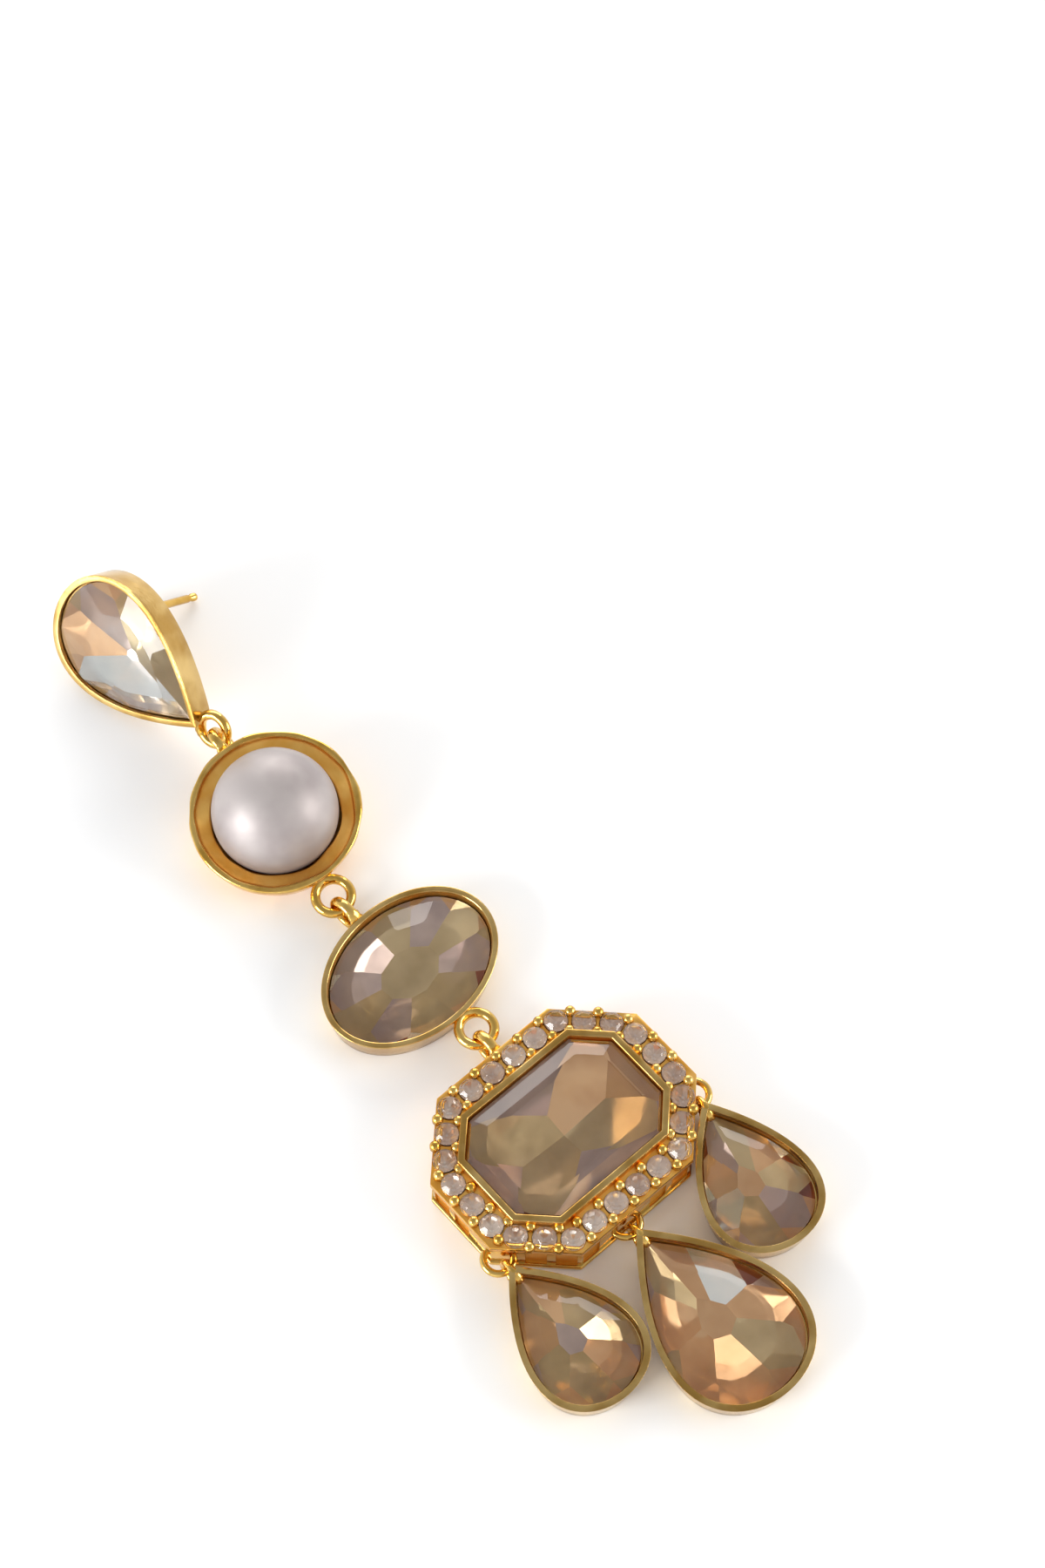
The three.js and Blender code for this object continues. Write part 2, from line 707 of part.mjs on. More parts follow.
const dropSites = [
  { side: 'centre', design: centreDrop, ring: centreRingPlace, turn: degrees(centreDropTurn) },
  { side: 'left', design: sideDrop, ring: leftRingPlace, turn: sideTurn(leftRingPlace, -1) },
  { side: 'right', design: sideDrop, ring: rightRingPlace, turn: sideTurn(rightRingPlace, 1) },
];
for (const { side, design, ring, turn } of dropSites) {
  const { x, y } = dropPlace(design, ring, turn);
  placed(
    x, y, 0, new THREE.Euler(0, 0, turn),
    piece(`${side}_drop_setting`, design.cup, gold()),
    piece(`${side}_drop_stone`, design.stone, crystal()),
  );
}

// Point at a distance up the chain from the origin, turned about it.
const upChain = (distance, turn) => new THREE.Vector2(0, distance).rotateAround(new THREE.Vector2(), turn);

// A setting above hangs its flat ring on the loop below it, swung a little to one side of that loop.
// The ring's own place on its setting, once that is turned, gives where the setting goes.
function chainPlace(loop, loopTurn, reach, ring) {
  const hooked = upChain(reach, loopTurn).add(loop);
  return new THREE.Vector2(hooked.x - ring.x, hooked.y - ring.y);
}

const oval = ovalSettingGeometry();
const ovalLie = lieOf(0, 0, ovalTurn);
const ovalReach = linkReach(ovalRingRadius, haloLoopRadius, linkSlack);
const ovalRing = new THREE.Vector3(0, oval.ringY, 0).applyEuler(ovalLie);
const ovalPlace = chainPlace(haloLoopPlace, degrees(linkSwing), ovalReach, ovalRing);
placed(
  ovalPlace.x, ovalPlace.y, 0, ovalLie,
  piece('oval_setting', oval.geometry, gold()),
  piece('oval_stone', cutStone(ellipseOutline(ovalWidth, ovalLength, stoneSides), deepStone), crystal()),
);

const ovalLoop = upChain(oval.loopY, degrees(ovalTurn)).add(ovalPlace);
const pearlReach = linkReach(pearlRingRadius, ovalLoopRadius, linkSlack);
const pearlRing = new THREE.Vector3(0, pearlRingY, pearlRingHeight).applyEuler(pearlLie);
const pearlPlace = chainPlace(ovalLoop, degrees(ovalTurn + linkSwing), pearlReach, pearlRing);
placed(
  pearlPlace.x, pearlPlace.y, -pearlLowest, pearlLie,
  piece('pearl_setting', pearlSettingGeometry(), gold()),
  piece('pearl', pearlGeometry(), nacre()),
);

const pearlLoop = new THREE.Vector3(0, pearlLoopY, pearlLoopLevel).applyEuler(pearlLie);
pearlLoop.x += pearlPlace.x;
pearlLoop.y += pearlPlace.y;
const studReach = linkReach(studRingRadius, pearlLoopRadius, studSlack);
const studPlace = chainPlace(pearlLoop, degrees(pearlTurn), studReach, studRing);
placed(
  studPlace.x, studPlace.y, -studLowest, studLie,
  piece('stud_setting', studSettingGeometry(), gold()),
  piece('stud_stone', studStoneGeometry(), crystal()),
);

// The origin is under the middle of the whole earring, on the surface that it lies on.
earring.updateMatrixWorld(true);
const extent = new THREE.Box3().setFromObject(earring, true);
const middle = extent.getCenter(new THREE.Vector3());
const part = new THREE.Group();
earring.position.set(-middle.x, -middle.y, -extent.min.z);
part.add(earring);

export default part;
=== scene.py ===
"""Looks of a chandelier earring that lies on a table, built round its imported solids.

Sizes in the classes are millimetres, apart from the studio's. Each piece is modelled flat at the middle
of its own setting, with the chain along Y, and is then laid where its setting lies.
"""

import logging
import math
import random
from collections.abc import Callable, Iterable
from dataclasses import dataclass, field
from enum import Enum, IntEnum

import bmesh
import bpy
from mathutils import Matrix, Vector


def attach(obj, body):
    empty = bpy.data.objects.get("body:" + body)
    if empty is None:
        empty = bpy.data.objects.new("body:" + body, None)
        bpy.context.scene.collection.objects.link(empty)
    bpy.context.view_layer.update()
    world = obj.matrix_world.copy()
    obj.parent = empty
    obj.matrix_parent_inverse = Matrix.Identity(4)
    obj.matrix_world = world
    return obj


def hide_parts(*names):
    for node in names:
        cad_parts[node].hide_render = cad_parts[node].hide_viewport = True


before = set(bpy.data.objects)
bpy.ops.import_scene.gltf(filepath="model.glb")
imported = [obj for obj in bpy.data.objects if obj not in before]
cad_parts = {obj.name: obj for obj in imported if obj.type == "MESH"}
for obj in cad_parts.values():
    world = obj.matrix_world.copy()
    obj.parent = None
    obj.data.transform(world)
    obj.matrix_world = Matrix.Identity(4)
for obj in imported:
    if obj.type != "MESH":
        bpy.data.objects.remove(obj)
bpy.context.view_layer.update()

Piece = bpy.types.Object
Material = bpy.types.Material
Colour = tuple[float, float, float, float]

LOG = logging.getLogger("earring")
MM = 0.001
CUT_TOLERANCE = 1e-6
SHARP_ANGLE = 35

# How wide a pear is against the circle that it is drawn from
PEAR_WIDEST = 4 / (3 * math.sqrt(3))
# How much an octagon's corner cut grows when its sides move out by one
CORNER_GROWTH = 2 - math.sqrt(2)

# Sizes that several settings share
BEZEL_WALL = 0.7
STONE_GAP = 0.15
STONE_SIDES = 64
WIRE = 0.37
RING_WIRE = 0.5
DROP_WIRE = 0.3
LOOP_BAND = 1.45
LINK_LEVEL = 2.05


class Shape(Enum):
    """Outline of a setting or a stone."""

    PEAR = "pear"
    OVAL = "oval"


class Slot(Enum):
    """Material slot of the record that a stone belongs to; here it only chooses between the small stones'
    finish and the champagne one.
    """

    GOLD = "gold_metal"
    CRYSTAL = "champagne_crystal"
    SMALL_CRYSTAL = "small_crystal"
    PEARL = "pearl"


class Tone(IntEnum):
    """Place of a tone in the palette's foils; the near-white tone paints a window's reflection and glints.
    """

    OLIVE = 0
    PEACH = 1
    MAUVE = 2
    RUSSET = 3
    PAINTED_GLINT = 4


# Tones that a facet's place chooses from, for steep facets and for flat ones. Their spread over the facets
# is partly the foil's tint and partly painted reflection, and the near-white tone among the steep ones is
# a painted glint.
STEEP_TONES = (*[Tone.OLIVE] * 3, *[Tone.PEACH] * 3, *[Tone.MAUVE] * 2, Tone.RUSSET, Tone.PAINTED_GLINT)
FLAT_TONES = (*[Tone.OLIVE] * 2, *[Tone.PEACH] * 2, Tone.MAUVE)


@dataclass(frozen=True)
class Outline:
    """Closed outline about the middle of a setting."""

    shape: Shape
    width: float
    length: float
    sides: int = 96

    def extent(self, grow: float) -> tuple[float, float, float]:
        """Size of the outline once it is grown outward.

        Args:
            grow: distance that the outline is grown by.

        Returns:
            Half the width, half the length and the middle's place along Y.
        """
        if self.shape is Shape.OVAL:
            return self.width / 2 + grow, self.length / 2 + grow, 0.0
        mitre = 1 / math.sin(math.atan(self.width / self.length / PEAR_WIDEST))
        half_length = self.length / 2 + grow * (mitre + 1) / 2
        return self.width / 2 + grow, half_length, grow * (mitre - 1) / 2

    def point(self, turn: float) -> Vector:
        """Point of the outline.

        Args:
            turn: angle round the outline, from the tip of a pear, in radians.

        Returns:
            The point.
        """
        half_width, half_length, _ = self.extent(0)
        if self.shape is Shape.OVAL:
            return Vector((-math.sin(turn) * half_width, math.cos(turn) * half_length, 0))
        x = -half_width / PEAR_WIDEST * math.sin(turn) * abs(math.sin(turn / 2))
        return Vector((x, math.cos(turn) * half_length, 0))

    def outward(self, turn: float) -> Vector:
        """Direction straight out of the outline.

        Args:
            turn: angle round the outline, in radians.

        Returns:
            The unit direction.
        """
        step = 0.01
        along = self.point(turn + step) - self.point(turn - step)
        return Vector((along.y, -along.x, 0)).normalized()


@dataclass(frozen=True)
class Lie:
    """Way that a setting lies: its place, and its turns in degrees."""

    x: float
    y: float
    z: float = 0.0
    pitch: float = 0.0
    lean: float = 0.0
    turn: float = 0.0

    def matrix(self) -> Matrix:
        """Place and turn as one matrix.

        Returns:
            The matrix, in metres.
        """
        turned = (
            Matrix.Rotation(math.radians(self.turn), 4, "Z")
            @ Matrix.Rotation(math.radians(self.pitch), 4, "X")
            @ Matrix.Rotation(math.radians(self.lean), 4, "Y")
        )
        return Matrix.Translation(Vector((self.x, self.y, self.z)) * MM) @ turned


# Modelling


def clear_bench() -> None:
    """Leaves edit mode and deselects everything."""
    if bpy.context.object is not None and bpy.context.object.mode != "OBJECT":
        bpy.ops.object.mode_set(mode="OBJECT")
    bpy.ops.object.select_all(action="DESELECT")


def take(*pieces: Piece) -> None:
    """Selects these pieces alone and makes the first one active.

    Args:
        pieces: objects to select.
    """
    clear_bench()
    for piece in pieces:
        piece.select_set(True)
    bpy.context.view_layer.objects.active = pieces[0]


def discard(piece: Piece) -> None:
    """Removes a piece that has done its work.

    Args:
        piece: the object.
    """
    take(piece)
    bpy.ops.object.delete()


def fix_place(piece: Piece) -> None:
    """Writes an object's place and turn into its mesh.

    Args:
        piece: the object.
    """
    take(piece)
    bpy.ops.object.transform_apply(location=True, rotation=True, scale=True)


def edit(piece: Piece, mode: str = "VERT") -> bmesh.types.BMesh:
    """Opens a piece in edit mode.

    Args:
        piece: the object.
        mode: what is selected, VERT, EDGE or FACE.

    Returns:
        Its edit mesh, to select in.
    """
    take(piece)
    bpy.ops.object.mode_set(mode="EDIT")
    bpy.ops.mesh.select_mode(type=mode)
    return bmesh.from_edit_mesh(piece.data)


def pick_points(piece: Piece, wanted: Callable[[Vector], bool]) -> None:
    """Selects the points of the edited piece by their place.

    Args:
        piece: the object in edit mode.
        wanted: says of a place in metres whether it is selected.
    """
    mesh = bmesh.from_edit_mesh(piece.data)
    for point in mesh.verts:
        point.select = wanted(point.co)
    mesh.select_flush_mode()
    bmesh.update_edit_mesh(piece.data)


def pick_faces(piece: Piece, wanted: Callable[[bmesh.types.BMFace], bool]) -> None:
    """Selects the faces of the edited piece.

    Args:
        piece: the object in edit mode, with faces selected.
        wanted: says of a face whether it is selected.
    """
    mesh = bmesh.from_edit_mesh(piece.data)
    mesh.normal_update()
    for face in mesh.faces:
        face.select = wanted(face)
    mesh.select_flush_mode()
    bmesh.update_edit_mesh(piece.data)


def pick_level(piece: Piece, level: float) -> None:
    """Selects the level faces at a height.

    Args:
        piece: the object in edit mode.
        level: the height.
    """
    level_normal, nearness = 0.99, 0.005
    pick_faces(
        piece,
        lambda face: abs(face.normal.z) > level_normal
        and abs(face.calc_center_median().z / MM - level) < nearness,
    )


def sink(depth: float) -> None:
    """Extrudes the selected level face straight down.

    Args:
        depth: how far.
    """
    bpy.ops.mesh.extrude_region_move(TRANSFORM_OT_translate={"value": (0, 0, -depth * MM)})


def slice_off(point: Vector, normal: Vector) -> None:
    """Cuts the edited piece along a plane, closes the cut and drops what lies beyond it.

    Args:
        point: a point of the plane.
        normal: direction of the side that goes.
    """
    bpy.ops.mesh.select_all(action="SELECT")
    bpy.ops.mesh.bisect(
        plane_co=point * MM,
        plane_no=normal.normalized(),
        use_fill=True,
        clear_outer=True,
        threshold=CUT_TOLERANCE,
    )


def close_form(piece: Piece, name: str) -> Piece:
    """Turns the faces of the edited piece outward and closes edit mode.

    Args:
        piece: the object.
        name: name of the piece.

    Returns:
        The piece.
    """
    bpy.ops.mesh.select_all(action="SELECT")
    bpy.ops.mesh.normals_make_consistent(inside=False)
    clear_bench()
    piece.name = piece.data.name = name
    return piece


def apply_modifier(piece: Piece, kind: str, **settings: object) -> None:
    """Adds a modifier to a piece and applies it.

    Args:
        piece: the object.
        kind: type name of the modifier.
        settings: properties of the modifier.
    """
    take(piece)
    bpy.ops.object.modifier_add(type=kind)
    modifier = piece.modifiers[-1]
    for name, value in settings.items():
        setattr(modifier, name, value)
    bpy.ops.object.modifier_apply(modifier=modifier.name)


def smooth(piece: Piece) -> None:
    """Shades a piece smooth, apart from its sharp edges.

    Args:
        piece: the object.
    """
    take(piece)
    bpy.ops.object.shade_smooth_by_angle(angle=math.radians(SHARP_ANGLE))


def soften(piece: Piece, width: float, segments: int = 3, angle: float = 40) -> None:
    """Rounds the sharp edges of a piece and shades it smooth.

    Args:
        piece: the object.
        width: width of the rounding.
        segments: steps of the rounding.
        angle: edges sharper than this are rounded, in degrees.
    """
    limit = {"limit_method": "ANGLE", "angle_limit": math.radians(angle)}
    apply_modifier(piece, "BEVEL", width=width * MM, segments=segments, **limit)
    smooth(piece)


def join(pieces: list[Piece], name: str) -> Piece:
    """Joins pieces into one.

    Args:
        pieces: the objects, two or more.
        name: name of the joined piece.

    Returns:
        The joined piece.
    """
    take(*pieces)
    bpy.ops.object.join()
    joined = pieces[0]
    joined.name = joined.data.name = name
    return joined


def copy_to(piece: Piece, place: Vector, turn: float = 0.0) -> Piece:
    """Copies a piece, mesh and all, turns the copy about its middle and moves it.

    Args:
        piece: the object, modelled about the origin.
        place: level place of the copy.
        turn: turn about Z, in radians.

    Returns:
        The copy.
    """
    take(piece)
    bpy.ops.object.duplicate(linked=False)
    copied = bpy.context.object
    copied.rotation_euler.z = turn
    copied.location = (place.x * MM, place.y * MM, 0)
    fix_place(copied)
    return copied


def cut_with(piece: Piece, cutters: list[Piece]) -> None:
    """Cuts pieces out of a piece.

    Args:
        piece: the object that is cut.
        cutters: closed objects, used up by the cut.
    """
    cutter = join(cutters, "cutter")
    apply_modifier(piece, "BOOLEAN", operation="DIFFERENCE", solver="EXACT", object=cutter)
    discard(cutter)


def cut_corner_block(width: float, length: float, corner: float, low: float, high: float) -> Piece:
    """Models a block with its four upright corners cut off, and leaves it in edit mode.

    Args:
        width: size across the chain.
        length: size along the chain.
        corner: how much each side loses at a corner.
        low: lowest height.
        high: highest height.

    Returns:
        The block.
    """
    upright_share = 0.9
    clear_bench()
    bpy.ops.mesh.primitive_cube_add(
        size=1,
        location=(0, 0, (low + high) / 2 * MM),
        scale=(width * MM, length * MM, (high - low) * MM),
    )
    block = bpy.context.object
    fix_place(block)
    mesh = edit(block, "EDGE")
    for edge in mesh.edges:
        along = edge.verts[0].co - edge.verts[1].co
        edge.select = abs(along.z) > upright_share * along.length
    mesh.select_flush_mode()
    bmesh.update_edit_mesh(block.data)
    bpy.ops.mesh.bevel(offset_type="OFFSET", offset=corner * MM, segments=1, affect="EDGES")
    bpy.ops.mesh.select_mode(type="FACE")
    return block


class Form:
    """A piece that is raised from an outline, face by face, in edit mode."""

    def __init__(self, outline: Outline, grow: float, height: float) -> None:
        """Starts with a filled outline, lying level.

        Args:
            outline: the outline that every level follows.
            grow: growth of the first level.
            height: height of the first level.
        """
        self.outline = outline
        self.grow = grow
        self.height = height
        half_width, half_length, middle = outline.extent(grow)
        pear = outline.shape is Shape.PEAR
        radius = half_width / PEAR_WIDEST if pear else half_width
        clear_bench()
        bpy.ops.mesh.primitive_circle_add(
            vertices=outline.sides,
            radius=radius * MM,
            fill_type="NGON",
            location=(0, 0, height * MM),
        )
        self.piece = bpy.context.object
        fix_place(self.piece)
        edit(self.piece)
        stretch = (1, half_length / radius, 1)
        bpy.ops.transform.resize(value=stretch, center_override=(0, 0, height * MM))
        if pear:
            self.pinch(half_length)
        bpy.ops.mesh.select_all(action="SELECT")
        bpy.ops.transform.translate(value=(0, middle * MM, 0))
        bpy.ops.mesh.select_mode(type="FACE")
        bpy.ops.mesh.select_all(action="SELECT")

    def pinch(self, half_length: float) -> None:
        """Draws the rows of an ellipse in towards its tip, which makes it a pear.

        Args:
            half_length: half the length of the ellipse.
        """
        nearness = 0.0002
        mesh = bmesh.from_edit_mesh(self.piece.data)
        rows = sorted({round(point.co.y / MM, 4) for point in mesh.verts})
        for row in rows[1:-1]:
            pick_points(self.piece, lambda place, row=row: abs(place.y / MM - row) < nearness)
            share = math.sqrt(max(1 - row / half_length, 0) / 2)
            bpy.ops.transform.resize(value=(share, 1, 1), center_override=(0, 0, self.height * MM))

    def lift(self, height: float, grow: float) -> None:
        """Extrudes the worked face to a height and a growth.

        Args:
            height: new height of the face.
            grow: new growth of the face.
        """
        rise = (height - self.height) * MM
        bpy.ops.mesh.extrude_region_move(TRANSFORM_OT_translate={"value": (0, 0, rise)})
        old, new = self.outline.extent(self.grow), self.outline.extent(grow)
        if grow != self.grow:
            bpy.ops.transform.resize(
                value=(new[0] / old[0], new[1] / old[1], 1),
                center_override=(0, old[2] * MM, height * MM),
            )
            bpy.ops.transform.translate(value=(0, (new[2] - old[2]) * MM, 0))
        self.grow, self.height = grow, height

    def climb(self, *levels: tuple[float, float]) -> None:
        """Lifts the worked face level by level.

        Args:
            levels: height and growth of each level.
        """
        for height, grow in levels:
            self.lift(height, grow)

    def finish(self, name: str) -> Piece:
        """Closes the piece and gives it its name."""
        return close_form(self.piece, name)


# Finishes


def add_node(tree: bpy.types.NodeTree, kind: str, **values: object) -> bpy.types.Node:
    """Adds a node to a tree.

    Args:
        tree: material tree or group.
        kind: type name of the node.
        values: properties of the node, or values of its inputs by socket name with spaces as _.

    Returns:
        The node.
    """
    node = tree.nodes.new(kind)
    for name, value in values.items():
        label = name.replace("_", " ")
        if label in node.inputs:
            node.inputs[label].default_value = value
        else:
            setattr(node, name, value)
    return node


def srgb(red: float, green: float, blue: float) -> Colour:
    """Linear colour of a picture colour.

    Args:
        red: 0 to 255.
        green: 0 to 255.
        blue: 0 to 255.

    Returns:
        The linear colour with full alpha.
    """
    def linear(value: float) -> float:
        """Linear share of one channel."""
        share = value / 255
        return share / 12.92 if share <= 0.04045 else ((share + 0.055) / 1.055) ** 2.4

    return linear(red), linear(green), linear(blue), 1.0


def build_mottle() -> bpy.types.NodeTree:
    """Builds the group that spreads two tones, a changing roughness and fine unevenness over a surface.

    Returns:
        The group, with outputs Color, Roughness and Height.
    """
    group = bpy.data.node_groups.new("uneven_surface", "ShaderNodeTree")
    sockets = {
        "INPUT": ("Light", "Dark", "Patch Scale", "Grain Scale", "Smoothest", "Roughest"),
        "OUTPUT": ("Color", "Roughness", "Height"),
    }
    for way, names in sockets.items():
        for name in names:
            kind = "NodeSocketColor" if name in ("Light", "Dark", "Color") else "NodeSocketFloat"
            group.interface.new_socket(name=name, in_out=way, socket_type=kind)
    given = group.nodes.new("NodeGroupInput").outputs
    results = group.nodes.new("NodeGroupOutput").inputs
    place = add_node(group, "ShaderNodeTexCoord")
    patches = add_node(group, "ShaderNodeTexNoise", Detail=3.0)
    grain = add_node(group, "ShaderNodeTexNoise", Detail=4.0)
    mask = add_node(group, "ShaderNodeValToRGB")
    mask.color_ramp.elements[0].position = 0.38
    mask.color_ramp.elements[1].position = 0.62
    blend = add_node(group, "ShaderNodeMix", data_type="RGBA")
    sheen = add_node(group, "ShaderNodeMapRange")
    for start, end in (
        (place.outputs["Object"], patches.inputs["Vector"]),
        (place.outputs["Object"], grain.inputs["Vector"]),
        (given["Patch Scale"], patches.inputs["Scale"]),
        (given["Grain Scale"], grain.inputs["Scale"]),
        (patches.outputs["Fac"], mask.inputs["Fac"]),
        (mask.outputs["Color"], blend.inputs["Factor"]),
        (given["Dark"], blend.inputs["A"]),
        (given["Light"], blend.inputs["B"]),
        (grain.outputs["Fac"], sheen.inputs["Value"]),
        (given["Smoothest"], sheen.inputs["To Min"]),
        (given["Roughest"], sheen.inputs["To Max"]),
        (blend.outputs["Result"], results["Color"]),
        (sheen.outputs["Result"], results["Roughness"]),
        (grain.outputs["Fac"], results["Height"]),
    ):
        group.links.new(start, end)
    return group


@dataclass(frozen=True)
class SurfaceFinish:
    """Opaque finish with two tones and a slightly uneven surface."""

    name: str
    light: Colour
    dark: Colour
    metallic: float
    patch_scale: float
    grain_scale: float
    smoothest: float
    roughest: float
    unevenness: float
    coat: float = 0.0
    coat_roughness: float = 0.1

    def make(self, mottle: bpy.types.NodeTree) -> Material:
        """Makes the material.

        Args:
            mottle: the group for uneven surfaces.

        Returns:
            The material.
        """
        material = bpy.data.materials.new(self.name)
        material.use_nodes = True
        tree = material.node_tree
        shader = tree.nodes["Principled BSDF"]
        shader.inputs["Metallic"].default_value = self.metallic
        shader.inputs["Coat Weight"].default_value = self.coat
        shader.inputs["Coat Roughness"].default_value = self.coat_roughness
        surface = tree.nodes.new("ShaderNodeGroup")
        surface.node_tree = mottle
        values = {
            "Light": self.light,
            "Dark": self.dark,
            "Patch Scale": self.patch_scale,
            "Grain Scale": self.grain_scale,
            "Smoothest": self.smoothest,
            "Roughest": self.roughest,
        }
        for label, value in values.items():
            surface.inputs[label].default_value = value
        bump = add_node(tree, "ShaderNodeBump", Strength=1.0, Distance=self.unevenness * MM)
        tree.links.new(surface.outputs["Color"], shader.inputs["Base Color"])
        tree.links.new(surface.outputs["Roughness"], shader.inputs["Roughness"])
        tree.links.new(surface.outputs["Height"], bump.inputs["Height"])
        tree.links.new(bump.outputs["Normal"], shader.inputs["Normal"])
        return material


@dataclass(frozen=True)
class GlassFinish:
    """Clear crown of a cut stone, with a slight tint that drifts over it."""

    name: str
    tint: Colour
    drift: Colour
    ior: float = 1.54
    drift_scale: float = 120.0

    def make(self) -> Material:
        """Makes the material.

        Returns:
            The material.
        """
        material = bpy.data.materials.new(self.name)
        material.use_nodes = True
        tree = material.node_tree
        shader = tree.nodes["Principled BSDF"]
        shader.inputs["Metallic"].default_value = 0.0
        shader.inputs["Transmission Weight"].default_value = 1.0
        shader.inputs["IOR"].default_value = self.ior
        shader.inputs["Roughness"].default_value = 0.0
        place = add_node(tree, "ShaderNodeTexCoord")
        noise = add_node(tree, "ShaderNodeTexNoise", Scale=self.drift_scale, Detail=1.0)
        blend = add_node(tree, "ShaderNodeMix", data_type="RGBA")
        blend.inputs["A"].default_value = self.tint
        blend.inputs["B"].default_value = self.drift
        tree.links.new(place.outputs["Object"], noise.inputs["Vector"])
        tree.links.new(noise.outputs["Fac"], blend.inputs["Factor"])
        tree.links.new(blend.outputs["Result"], shader.inputs["Base Color"])
        return material


class Palette:
    """All the materials of the earring and its table."""

    def __init__(self) -> None:
        """Makes every material once."""
        mottle = build_mottle()
        self.gold = SurfaceFinish(
            "gold_plate", srgb(218, 184, 118), srgb(180, 140, 72), metallic=1.0,
            patch_scale=220.0, grain_scale=1300.0, smoothest=0.1, roughest=0.24, unevenness=0.035,
        ).make(mottle)
        # Rougher satin gold for inner walls and hidden parts, with a lighter, warmer base that paints
        # light into these shaded places
        self.satin_gold_painted_lighter = SurfaceFinish(
            "gold_inside_painted_lighter", srgb(246, 194, 104), srgb(230, 164, 68), metallic=1.0,
            patch_scale=240.0, grain_scale=1100.0, smoothest=0.3, roughest=0.46, unevenness=0.04,
        ).make(mottle)
        self.bright_gold = SurfaceFinish(
            "polished_gold", srgb(230, 192, 110), srgb(204, 158, 70), metallic=1.0,
            patch_scale=320.0, grain_scale=1500.0, smoothest=0.06, roughest=0.16, unevenness=0.02,
        ).make(mottle)
        self.golds = (self.gold, self.satin_gold_painted_lighter, self.bright_gold)
        foil_tones = {
            Tone.OLIVE: (srgb(204, 185, 144), srgb(181, 160, 120), 0.5),
            Tone.PEACH: (srgb(226, 188, 144), srgb(205, 162, 118), 0.5),
            Tone.MAUVE: (srgb(199, 182, 177), srgb(172, 154, 152), 0.5),
            Tone.RUSSET: (srgb(150, 84, 48), srgb(118, 56, 30), 0.5),
            # Near-white, more metallic foil: a painted window reflection and painted glints in the
            # pavilion
            Tone.PAINTED_GLINT: (srgb(250, 253, 255), srgb(232, 242, 248), 0.9),
        }
        self.foils = [
            SurfaceFinish(
                f"crystal_foil_{tone.name.lower()}", light, dark, metallic,
                patch_scale=190.0, grain_scale=900.0, smoothest=0.08, roughest=0.18, unevenness=0.001,
            ).make(mottle)
            for tone, (light, dark, metallic) in foil_tones.items()
        ]
        self.small_foil = SurfaceFinish(
            "small_crystal_foil", srgb(252, 244, 236), srgb(226, 208, 196), metallic=0.6,
            patch_scale=400.0, grain_scale=1500.0, smoothest=0.03, roughest=0.1, unevenness=0.005,
        ).make(mottle)
        self.pearl = SurfaceFinish(
            "pearl_nacre", srgb(176, 167, 164), srgb(154, 144, 142), metallic=0.38,
            patch_scale=140.0, grain_scale=700.0, smoothest=0.42, roughest=0.54, unevenness=0.01,
            coat=0.12, coat_roughness=0.35,
        ).make(mottle)
        self.table = SurfaceFinish(
            "white_table", (0.94, 0.94, 0.94, 1), (0.92, 0.92, 0.92, 1), metallic=0.0,
            patch_scale=20.0, grain_scale=200.0, smoothest=0.6, roughest=0.7, unevenness=0.0,
        ).make(mottle)
        self.crystal = GlassFinish("champagne_glass", srgb(252, 243, 228), srgb(243, 236, 230)).make()
        self.small_crystal = GlassFinish(
            "small_clear_glass", srgb(250, 244, 238), srgb(244, 236, 232)
        ).make()


# Pieces


def dress(piece: Piece, *materials: Material) -> None:
    """Gives a piece its materials, the first one all over.

    Args:
        piece: the object.
        materials: materials in the order of the mesh's slots.
    """
    piece.data.materials.clear()
    for material in materials:
        piece.data.materials.append(material)


def hand_over(piece: Piece, lie: Lie, node: str) -> None:
    """Lays a finished piece in its place and lets it stand for its solid.

    Args:
        piece: the object, modelled about the middle of its setting.
        lie: how its setting lies.
        node: name of the solid.
    """
    piece.matrix_world = lie.matrix()
    fix_place(piece)
    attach(piece, "root")
    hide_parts(node)
    LOG.info("%s stands for %s, %d faces", piece.name, node, len(piece.data.polygons))


@dataclass
class LinkRing:
    """Round wire ring that is soldered to a wall."""

    radius: float
    y: float
    z: float
    x: float = 0.0
    wire: float = WIRE
    upright: bool = False
    lean: float = 0.0
    wall_y: float = 0.0
    band: float = 1.0
    foot_swell: float = 1.25
    foot_shares: tuple[float, ...] = (0.4, 0.15)

    def build(self) -> Piece:
        """Models the ring, with its wire thickened into a foot where it meets the wall.

        Returns:
            The ring.
        """
        middle = (self.x * MM, self.y * MM, self.z * MM)
        clear_bench()
        bpy.ops.mesh.primitive_torus_add(
            location=middle,
            rotation=(0, math.radians(90 + self.lean) if self.upright else 0.0, 0),
            major_radius=self.radius * MM,
            minor_radius=self.wire * MM,
            major_segments=48,
            minor_segments=16,
        )
        ring = bpy.context.object
        fix_place(ring)
        edit(ring)
        bpy.ops.mesh.select_all(action="SELECT")
        bpy.ops.transform.resize(value=(self.band, 1, 1), center_override=middle)
        side = 1 if self.y > self.wall_y else -1
        reach = abs(self.wall_y - self.y)
        swell = (self.foot_swell, 1, 1) if self.upright else (1, 1, self.foot_swell)
        for share in self.foot_shares:
            start = reach - share * self.radius
            pick_points(ring, lambda place, start=start: (self.y - place.y / MM) * side > start)
            bpy.ops.transform.resize(value=swell, center_override=middle)
        take(ring)
        bpy.ops.object.shade_smooth()
        return ring


